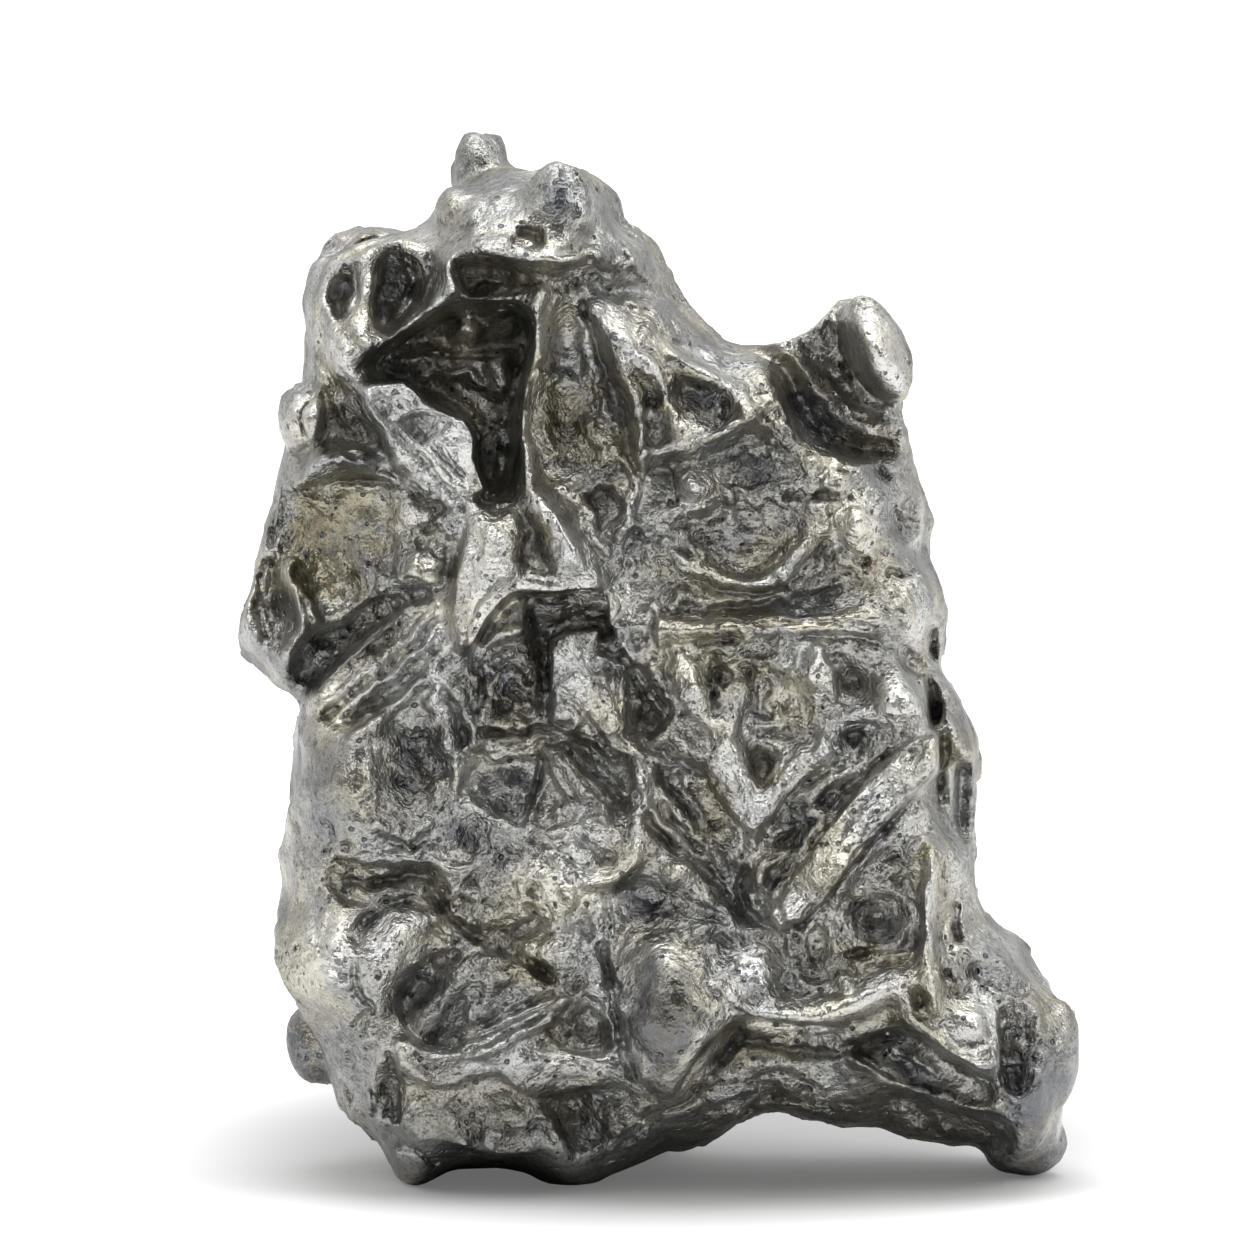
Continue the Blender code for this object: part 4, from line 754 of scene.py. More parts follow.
def thumb() -> list[Form]:
    """The forms of the smooth boss low on the front and of the arm that runs right from it."""
    return [
        Boss(0.6, 8.4, 3.0, 4.6, 0.7, -6), Boss(0.1, 8.8, 1.4, 2.4, -0.3, -6),
        Fold(0.9, 0.3, [(3.4, 10.4), (3.0, 8.6), (2.2, 6.6), (1.0, 5.0)]),
        Fold(0.35, -1.1, [(-2.7, 12.2), (-2.5, 10.4), (-2.1, 8.8), (-1.8, 7.2), (-1.2, 5.8), (-0.4, 4.6)]),
        Fold(0.3, -0.8, [(4.4, 7.9), (3.4, 6.8), (2.5, 5.6), (1.6, 4.5), (0.5, 4.1)]),
        Boss(3.4, 9.4, 1.2, 1.8, 0.5, 20), Boss(5.0, 11.2, 1.4, 1.3, 0.7, 0, F),
        Boss(4.9, 9.5, 0.8, 0.7, -0.4),
        Fold(0.4, 0.5, [(1.4, 12.8), (2.8, 13.3), (4.2, 12.9), (5.4, 13.0)], S),
        Fold(0.24, -0.5, [(1.6, 12.4), (2.9, 12.7), (4.0, 12.2)]),
        Fold(1.15, 0.7, [(4.9, 8.4), (7.0, 8.5), (8.5, 8.6), (10.0, 9.2), (11.0, 10.0), (12.0, 10.4),
            (13.0, 10.5)]),
        Boss(9.3, 10.5, 0.4, 0.7, 0.6, 0, F), Boss(8.3, 9.9, 0.6, 0.4, -0.4),
        Fold(0.4, 0.6, [(7.3, 13.2), (7.1, 12.0), (7.4, 11.2)], S),
        Fold(0.4, 0.5, [(6.4, 12.4), (6.9, 11.3), (7.2, 10.2)], S), Boss(8.1, 12.2, 0.6, 1.1, -0.3),
        Boss(6.0, 12.6, 0.6, 0.7, -0.3), Fold(0.24, -0.5, [(6.2, 10.8), (6.4, 9.9), (5.9, 9.2)]),
        Rubble(6.8, 11.2, 2.6, 1.8, 0.7, 0.3, 0.5, 34),
    ]


def blade() -> list[Form]:
    """The forms round the thin upright fin on the right."""
    return [
        Fold(0.5, 1.6, [(13.7, 16.6), (13.45, 15.0), (13.25, 14.2), (13.4, 12.8), (13.4, 12.0),
            (13.3, 11.4), (13.6, 10.6), (13.6, 10.0), (13.8, 9.1)], S),
        Boss(11.2, 13.5, 2.3, 2.1, 1.9, 0, F), Boss(11.0, 13.5, 1.4, 0.9, -0.4),
        Boss(12.6, 12.5, 0.5, 0.8, -0.7), Boss(13.0, 16.7, 1.1, 0.7, 0.2, 20),
        Fold(0.4, 0.5, [(9.3, 15.1), (10.1, 14.8), (10.8, 14.2)], S),
        Fold(0.4, 0.5, [(9.0, 14.2), (9.3, 13.0), (10.2, 12.3), (11.6, 12.2)], S),
        Fold(0.5, 0.6, [(9.2, 16.3), (9.0, 14.9), (8.6, 13.4), (8.9, 11.8)], S),
        Fold(0.5, 0.6, [(9.8, 11.3), (11.2, 11.6), (12.6, 11.9)], S),
        Fold(0.24, -0.5, [(9.6, 11.9), (11.2, 12.1), (12.4, 12.0)]),
        Fold(0.28, -0.8, [(14.9, 14.3), (14.9, 12.4)]), Boss(16.5, 11.0, 1.0, 0.7, 0.3),
        Fold(0.5, 0.6, [(15.0, 12.0), (16.2, 11.9), (17.4, 11.2), (17.6, 10.4)], S),
        Boss(15.8, 9.4, 1.1, 0.7, -0.3),
        Fold(0.5, 0.5, [(14.2, 10.4), (15.0, 10.4), (16.2, 10.3), (17.0, 9.8)], S),
        Fold(0.6, 1.1, [(12.4, 9.6), (12.6, 8.6), (13.0, 8.2), (13.9, 7.7), (14.3, 7.1), (14.9, 6.6),
            (15.6, 6.3), (16.2, 5.7), (16.6, 5.3), (17.0, 5.3)], S),
        Fold(0.4, 0.9, [(18.7, 9.1), (19.0, 8.4), (18.8, 7.5), (18.5, 6.8), (18.6, 6.1)], S),
        Boss(19.5, 7.4, 0.7, 0.55, -0.4),
        Fold(0.4, 0.5, [(17.2, 9.9), (16.9, 8.6), (16.9, 7.2), (16.8, 6.2)], S),
        Boss(16.9, 4.5, 0.5, 0.5, 0.5, 0, F), Boss(17.7, 4.7, 0.4, 0.35, 0.4, 0, F),
        Boss(12.9, 9.7, 0.5, 0.8, -0.9), Rubble(17.9, 12.3, 0.8, 1.0, 0.35, 0.3, 0.7, 35),
        Rubble(14.8, 13.6, 1.1, 3.0, 0.6, 0.3, 0.6, 41),
    ]


def skirt() -> list[Form]:
    """The forms of the overhanging lip along the bottom and of the feet below it."""
    return [
        Fold(0.9, 0.2, [(-13.3, 7.9), (-12.8, 6.9), (-12.2, 6.1), (-11.0, 5.6), (-9.5, 5.5), (-8.0, 5.9),
            (-7.0, 5.4), (-5.5, 5.9), (-4.0, 6.0), (-2.5, 5.9), (-1.0, 5.9)]),
        Fold(0.6, 0.5, [(4.4, 8.2), (5.6, 7.9), (7.0, 7.6), (8.5, 7.6), (10.0, 7.9), (11.0, 8.3),
            (12.0, 8.5)]),
        Fold(0.36, -0.8, [(3.2, 6.6), (4.2, 7.5), (5.5, 7.2), (7.0, 6.9), (8.5, 6.8), (10.0, 7.1),
            (11.2, 7.5), (12.2, 7.7)]),
        Fold(0.6, 0.8, [(8.6, 6.9), (10.0, 6.6), (11.4, 6.1), (12.3, 5.4), (13.0, 4.9), (14.2, 4.6),
            (15.2, 4.3), (16.0, 3.9)], S),
        Fold(0.35, 0.5, [(11.4, 7.2), (12.6, 6.7), (13.8, 5.9)], S),
        Plate(0.2, 0.4, [(-5.6, 4.3), (-4.8, 4.8), (-3.3, 4.7), (-2.6, 4.2), (-2.3, 2.2), (-3.4, 1.6),
            (-4.2, 1.6), (-4.8, 2.8)], 0.4, 0.0),
        Fold(0.4, 0.8, [(-2.4, 4.4), (-2.0, 3.2), (-2.3, 2.2)], S),
        Rubble(-1.4, 3.3, 1.1, 1.5, 0.5, 0.7, 1.2, 36), Boss(4.5, 4.0, 0.5, 0.4, -0.8),
        Fold(0.24, -0.6, [(1.8, 5.0), (3.0, 5.6), (4.2, 5.4), (5.0, 5.2)]),
        Boss(6.5, 5.0, 0.7, 0.5, 0.4, 0, F),
        Fold(0.28, -0.8, [(-12.9, 2.1), (-12.2, 2.2), (-11.8, 1.7), (-11.3, 1.4), (-10.8, 1.4)]),
        Fold(0.6, 0.8, [(-16.0, 7.8), (-16.1, 6.0), (-16.2, 5.2)], S),
        Fold(0.6, 0.8, [(-13.9, 6.4), (-14.2, 5.2), (-14.1, 4.2), (-13.8, 3.2), (-13.6, 2.2)], S),
        Fold(0.35, -0.9, [(-13.3, 6.8), (-13.1, 5.0), (-13.1, 3.5)]), Boss(-15.5, 4.7, 0.4, 1.0, -0.7),
        Fold(0.6, 0.7, [(-16.0, 7.9), (-14.0, 7.6), (-13.3, 6.9)], S), Boss(-16.4, 6.7, 0.3, 0.6, -0.5),
        Fold(0.24, -0.5, [(-8.0, 3.0), (-6.8, 2.9), (-5.8, 3.4), (-5.2, 2.6)]),
        Rubble(-9.4, 2.8, 3.4, 1.5, 0.8, 0.2, 0.35, 37), Rubble(6.0, 5.0, 5.4, 1.9, 0.8, 0.24, 0.4, 38),
    ]


def basin() -> list[Form]:
    """The forms of the lens-shaped hollow at the lower left and of the crevice over it."""
    return [
        Boss(-11.5, 9.9, 1.1, 1.6, -0.5, -35),
        Fold(1.1, 1.2, [(-8.6, 12.0), (-9.9, 10.7), (-11.0, 9.6), (-11.8, 8.3)]),
        Fold(1.0, 0.8, [(-8.1, 10.6), (-8.9, 9.2), (-9.4, 7.9)], S),
        Boss(-7.3, 10.8, 1.3, 0.7, 0.4, 12, F), Boss(-11.3, 7.7, 0.4, 0.35, -0.7),
        Boss(-10.3, 7.5, 0.32, 0.3, 0.5, 0, F),
        Fold(0.5, 1.1, [(-11.4, 6.8), (-10.0, 7.1), (-8.6, 7.9), (-7.0, 8.7), (-5.5, 9.3),
            (-4.6, 9.5)], S),
        Fold(0.24, -0.7, [(-9.6, 7.0), (-8.3, 7.6), (-7.0, 8.2), (-5.6, 8.8)]),
        Fold(0.4, 0.8, [(-8.8, 6.9), (-7.4, 7.5), (-6.3, 8.1), (-5.4, 8.5)], S),
        Boss(-5.5, 8.0, 0.35, 0.3, -0.6),
        Plate(0.9, 0.5, [(-4.6, 8.7), (-3.2, 8.7), (-2.3, 8.6), (-1.8, 7.9), (-1.7, 7.1), (-2.8, 6.9),
            (-4.3, 7.3)], 0.0, -0.3),
        Boss(-3.7, 6.3, 0.24, 0.24, -0.4), Boss(-15.4, 15.5, 0.6, 0.7, -1.2),
        Boss(-15.5, 17.2, 0.4, 0.4, -0.6),
        Fold(0.3, -0.9, [(-14.9, 15.2), (-14.0, 15.4), (-12.8, 15.6), (-11.5, 15.7), (-11.2, 15.0),
            (-10.3, 13.6), (-9.5, 13.0), (-8.4, 12.2)]),
        Fold(0.5, 0.6, [(-14.6, 16.3), (-13.4, 16.4), (-12.2, 16.6), (-11.2, 16.4)], S),
        Fold(0.5, 0.6, [(-14.6, 14.6), (-13.2, 14.9), (-12.0, 14.8), (-10.9, 13.6)], S),
        Fold(0.45, -0.7, [(-12.9, 14.4), (-13.8, 14.2), (-14.6, 13.5), (-15.0, 12.8), (-14.9, 12.2)]),
        Boss(-13.0, 12.0, 1.7, 2.4, 0.6, -25), Fold(0.28, -0.7, [(-11.3, 13.1), (-10.0, 12.4)]),
        Boss(-16.5, 10.5, 0.7, 0.6, 0.4, 0, F),
        Fold(0.3, -0.6, [(-15.2, 11.4), (-15.0, 10.0), (-14.2, 9.0)]),
        Fold(0.4, 0.5, [(-16.8, 10.9), (-16.0, 10.2), (-15.4, 10.4)], S),
        Rubble(-17.3, 12.2, 1.8, 3.0, 0.7, 0.3, 0.4, 39), Rubble(-9.4, 14.4, 1.8, 1.4, 0.7, 0.6, 0.9, 40),
    ]


# The levels of the front, worked in this order before its finer forms.
FACES = [
    Face(8.1, 0.45, [(-9.9, 27.1), (-9.2, 26.9), (-8.4, 28.4), (-7.4, 29.6), (-6.4, 29.75), (-4.6, 29.7),
        (-4.6, 31.2), (-7.5, 31.4), (-9.8, 29.6)], 0.05, 0.08),
    Face(7.5, 0.3, [(-4.7, 29.85), (-2.85, 29.85), (-2.8, 30.8), (-4.7, 31.2)], -0.6, 0.2),
    Face(7.5, 0.7, [(-10.3, 27.6), (-10.2, 30.4), (-9.8, 32.0), (-9.3, 33.6), (-8.6, 33.9), (-8.9, 31.0),
        (-9.3, 28.0)], 0.3),
    Face(5.3, 0.6, [(-9.2, 26.8), (-8.2, 28.3), (-7.2, 29.5), (-6.1, 29.6), (-5.8, 27.2),
        (-7.4, 26.9)], -0.6, 0.2),
    Face(3.2, 0.3, [(-6.4, 27.6), (-5.2, 27.9), (-5.2, 22.9), (-6.4, 22.9)], 0.0, -0.3),
    Face(4.0, 0.4, [(-6.5, 29.7), (-2.7, 29.7), (-2.3, 28.2), (-3.1, 27.5), (-6.3, 27.3)], 0.15, 1.0),
    Face(4.6, 0.6, [(-8.6, 21.9), (-5.0, 22.1), (-4.5, 22.8), (-5.7, 23.3), (-8.5, 22.9)], 0.0, -0.5),
    Face(5.5, 0.3, [(-2.8, 30.0), (-2.45, 28.0), (-1.5, 27.9), (-1.3, 30.2)]),
    Face(4.5, 0.35, [(-9.1, 23.0), (-9.2, 26.0), (-8.9, 26.9), (-7.6, 27.4), (-6.6, 27.4), (-6.0, 27.0),
        (-5.85, 25.0), (-6.0, 23.2), (-7.4, 22.8)], -0.5, -0.15),
    Face(6.0, 0.3, [(-5.35, 27.4), (-4.4, 27.9), (-2.9, 28.0), (-2.9, 26.0), (-3.6, 24.0), (-4.2, 22.8),
        (-5.35, 23.2)]),
    Face(0.9, 1.6, [(5.2, 43.0), (8.8, 44.6), (9.5, 42.5), (9.9, 40.6), (10.8, 39.5), (12.3, 38.7),
        (12.3, 37.1), (9.5, 36.9), (7.4, 37.6), (6.4, 39.4), (5.6, 41.2)], -0.05, 0.15),
    Face(4.9, 1.2, [(1.0, 40.3), (2.4, 39.9), (4.0, 39.0), (3.0, 38.4), (1.6, 38.6),
        (1.0, 39.3)], 0.2, -0.2),
    Face(5.5, 1.0, [(-0.7, 40.2), (0.1, 39.4), (0.7, 38.0), (0.9, 37.2), (0.0, 36.9), (-0.6, 37.2)], 0.3),
    Face(4.5, 0.7, [(-12.8, 9.8), (-11.9, 10.9), (-10.5, 11.5), (-9.0, 11.8), (-7.4, 12.0), (-6.3, 11.1),
        (-4.8, 10.1), (-6.0, 9.4), (-8.0, 8.5), (-9.5, 8.0), (-11.4, 7.3), (-12.7, 8.7)], 0.25),
    Face(4.9, 0.5, [(-12.8, 5.6), (-11.0, 4.8), (-9.9, 5.0), (-8.8, 5.5), (-8.0, 5.6), (-7.4, 4.9),
        (-6.0, 4.4), (-5.2, 3.4), (-4.6, 2.2), (-8.0, 1.6), (-12.6, 3.0)], 0.0, 0.12),
    Face(6.0, 0.5, [(-13.2, 7.6), (-12.6, 5.8), (-11.0, 5.0), (-9.9, 5.2), (-8.8, 5.7), (-8.0, 5.8),
        (-7.4, 5.1), (-6.0, 4.7), (-4.5, 4.8), (-2.5, 5.2), (-1.0, 5.3), (-1.0, 6.7), (-6.0, 6.8),
        (-9.0, 6.5), (-11.5, 6.7)], 0.0, 0.5),
    Face(0.9, 1.2, [(-13.9, 41.2), (-12.0, 42.0), (-7.2, 42.0), (-7.1, 40.0), (-7.6, 38.5), (-8.0, 36.0),
        (-8.9, 35.6), (-9.2, 38.0), (-10.0, 39.0), (-12.2, 40.2)], 0.0, 0.2),
    Face(3.5, 0.8, [(9.6, 7.0), (12.0, 8.0), (13.4, 7.4), (16.4, 5.3), (16.4, 4.3), (13.6, 4.7),
        (11.8, 5.5)]),
    Face(4.9, 0.7, [(3.0, 6.3), (4.4, 7.4), (9.6, 7.2), (9.6, 6.2), (4.0, 5.9)]),
    Face(4.0, 0.4, [(17.3, 9.9), (18.5, 9.6), (18.7, 8.4), (18.5, 6.8), (18.5, 5.0), (17.7, 4.7),
        (17.2, 5.4), (17.5, 7.0), (17.3, 8.6)], 0.0, 0.1),
    Face(4.7, 0.6, [(-15.9, 16.3), (-14.6, 16.1), (-11.2, 16.3), (-10.2, 14.4), (-11.6, 14.8),
        (-14.6, 14.4), (-15.9, 14.9)]),
    Face(4.6, 0.5, [(-0.1, 21.0), (1.2, 21.2), (2.8, 20.4), (3.6, 18.6), (4.2, 17.2), (3.4, 16.8),
        (1.6, 17.8), (0.4, 19.4)], 0.15, 0.0),
    Face(0.9, 0.3, [(13.5, 25.6), (14.0, 25.4), (14.2, 23.8), (13.95, 22.9), (13.6, 23.4)]),
    Face(-0.8, 0.3, [(13.55, 28.2), (13.95, 28.0), (14.1, 27.0), (13.8, 26.2), (13.45, 26.6)]),
    Face(-1.3, 0.4, [(14.9, 21.2), (15.5, 21.3), (15.95, 19.7), (15.8, 17.8), (15.3, 17.2), (14.8, 18.6),
        (14.9, 20.0)]),
    Face(0.4, 0.3, [(14.1, 22.5), (14.4, 22.4), (14.3, 20.6), (14.5, 19.4), (14.1, 18.8), (13.95, 20.4)]),
    Face(5.3, 0.5, [(5.1, 17.9), (6.2, 19.4), (7.4, 20.6), (10.2, 21.3), (9.6, 19.4), (8.2, 17.9),
        (7.0, 17.0), (5.6, 16.6)], 0.2, -0.1),
    Face(6.1, 0.5, [(3.3, 22.6), (4.1, 21.2), (4.8, 20.2), (5.1, 18.9), (4.6, 17.9), (3.8, 18.4),
        (3.2, 19.4), (2.6, 20.4), (2.4, 21.4)]),
    Face(6.4, 0.4, [(4.9, 18.2), (5.2, 19.6), (6.2, 21.0), (7.4, 22.2), (8.4, 22.9), (8.7, 22.0),
        (7.8, 21.2), (6.9, 20.2), (6.0, 19.0), (5.3, 18.0)], 0.1, 0.0),
    Face(7.5, 0.4, [(13.9, 22.8), (14.0, 21.0), (12.6, 19.6), (11.2, 18.1), (9.8, 16.5), (8.6, 14.9),
        (7.2, 13.4), (6.3, 13.3), (6.1, 14.4), (7.1, 16.1), (8.3, 17.9), (9.5, 19.5), (11.1, 21.0),
        (12.5, 22.4)], 0.15, -0.1),
    Face(5.2, 0.7, [(2.4, 26.7), (3.8, 26.5), (4.2, 25.2), (3.6, 23.9), (2.7, 24.2)], -0.2),
    Face(4.9, 0.7, [(-17.5, 24.6), (-16.3, 26.0), (-14.4, 27.7), (-12.4, 29.3), (-10.6, 29.5),
        (-10.2, 27.6), (-11.2, 25.8), (-13.4, 24.0), (-15.4, 23.1), (-17.2, 23.2)], 0.33, 0.0),
    Face(4.7, 0.9, [(-10.0, 46.3), (-8.2, 46.4), (-6.8, 46.0), (-6.6, 44.9), (-7.8, 44.4),
        (-9.6, 44.8)], 0.0, -0.6),
    Face(0.5, 0.8, [(-12.6, 42.4), (-10.5, 43.2), (-9.5, 44.2), (-7.0, 44.1), (-6.8, 42.4), (-8.6, 41.6),
        (-10.6, 41.7)], 0.0, 1.0),
    Face(6.2, 0.3, [(-14.6, 40.2), (-12.6, 40.4), (-12.0, 39.9), (-11.6, 39.5), (-10.4, 38.8),
        (-9.6, 38.6), (-9.1, 37.6), (-8.9, 35.8), (-8.5, 34.9), (-9.6, 34.4), (-11.4, 35.9), (-12.9, 37.6),
        (-14.0, 38.9)], 0.1, 0.1),
]

# The swellings that break the lump's outline.
KNOBS = [
    Knob((-8.95, 50.9, -4.4), (1.2, 2.15, 1.7), 14), Knob((-9.95, 48.8, 1.8), (1.25, 1.35, 2.2)),
    Knob((-14.2, 46.9, -2.6), (2.7, 1.25, 2.0)), Knob((-16.6, 44.6, -1.4), (1.15, 2.2, 1.8)),
    Knob((-17.8, 38.5, -0.2), (1.25, 1.8, 2.0)), Knob((-17.1, 7.2, -5.6), (1.6, 2.1, 2.0), 10),
    Knob((-12.1, 1.5, -0.6), (1.3, 1.35, 1.6)), Knob((13.3, 28.6, -2.0), (1.15, 2.6, 2.0)),
    Knob((10.95, 42.0, 3.2), (1.4, 2.85, 3.0), 22), Knob((18.5, 2.4, -3.6), (2.0, 1.8, 2.6)),
    Knob((-5.0, 49.0, 5.3), (1.8, 2.3, 1.7)), Knob((14.3, 22.3, -1.0), (1.3, 2.2, 2.2)),
    Knob((19.7, 6.6, 0.6), (1.4, 3.0, 3.0), -6),
]

# Where the front has an olive stain. The lift says how strong it is, as in the lists below.
OLIVE = [
    Boss(-16.3, 32.2, 3.4, 3.7, 1.3, 0, F), Boss(-4.5, 40.0, 1.9, 5.0, 0.7, 5),
    Boss(0.4, 9.5, 1.8, 2.4, 1.0, -6), Boss(5.5, 28.3, 5.8, 1.0, 0.8, 3),
    Boss(-7.4, 10.8, 1.8, 1.0, 0.7, 12), Boss(13.0, 16.6, 1.3, 1.0, 0.7), Boss(11.5, 11.8, 2.0, 0.8, 0.6),
    Boss(4.3, 31.8, 4.0, 1.4, 0.5), Boss(-7.7, 24.6, 1.6, 1.8, 1.0), Boss(2.4, 19.0, 2.0, 2.0, 0.5, 45),
    Boss(1.6, 39.4, 3.0, 1.6, 0.5), Boss(-12.9, 47.4, 1.2, 0.8, 0.5), Boss(6.8, 23.6, 3.4, 1.6, 0.4),
    Boss(-9.0, 3.0, 3.5, 1.5, 0.4),
]

# Where the front has small rusty stains.
RUST = [
    Boss(10.9, 30.9, 0.9, 0.8, 0.8), Boss(11.2, 29.0, 0.7, 0.7, 0.6), Boss(10.1, 27.0, 0.7, 0.5, 0.6),
    Boss(-3.5, 46.4, 0.7, 0.6, 0.7), Boss(-6.6, 14.4, 0.6, 0.8, 0.5), Boss(4.9, 8.3, 0.6, 0.5, 0.5),
    Boss(-2.4, 12.6, 0.5, 0.6, 0.5), Boss(2.2, 35.7, 0.6, 0.5, 0.4),
]

# Where the front is painted darker: painted shade in its deepest hollows and under its overhangs, partly
# their dark patina.
PATINA_AND_SHADE = [
    Boss(-9.6, 40.8, 3.6, 1.8, 0.1, 15), Boss(-8.4, 37.0, 0.9, 3.2, 0.8),
    Boss(8.2, 40.0, 2.3, 3.4, 2.0, -40, F), Boss(-4.8, 28.7, 3.0, 1.3, 1.6, 0, F),
    Boss(-7.6, 28.2, 1.3, 0.8, 0.7, 35), Boss(-5.7, 25.4, 0.6, 2.6, 0.9), Boss(-13.0, 44.6, 1.2, 2.6, 0.8),
    Boss(-16.4, 27.2, 2.6, 1.0, 0.8, 40), Boss(-3.9, 3.2, 1.6, 1.8, 0.9), Boss(-15.4, 38.6, 1.6, 1.9, 0.6),
    Boss(-13.2, 15.4, 3.4, 0.7, 0.8), Boss(-15.4, 15.2, 0.8, 0.7, 0.8), Boss(13.6, 3.4, 4.4, 1.3, 0.6),
    Boss(-1.6, 26.4, 1.4, 0.6, 0.7, -30), Boss(9.7, 25.2, 0.9, 1.6, 0.6, 30),
    Boss(12.3, 33.4, 1.4, 0.8, 0.5, -20), Boss(18.0, 7.4, 1.0, 2.8, 0.7), Boss(15.3, 19.4, 0.8, 2.2, 0.7),
    Boss(-8.5, 45.3, 1.5, 0.9, 0.3), Boss(12.4, 12.4, 0.8, 1.1, 0.6),
]
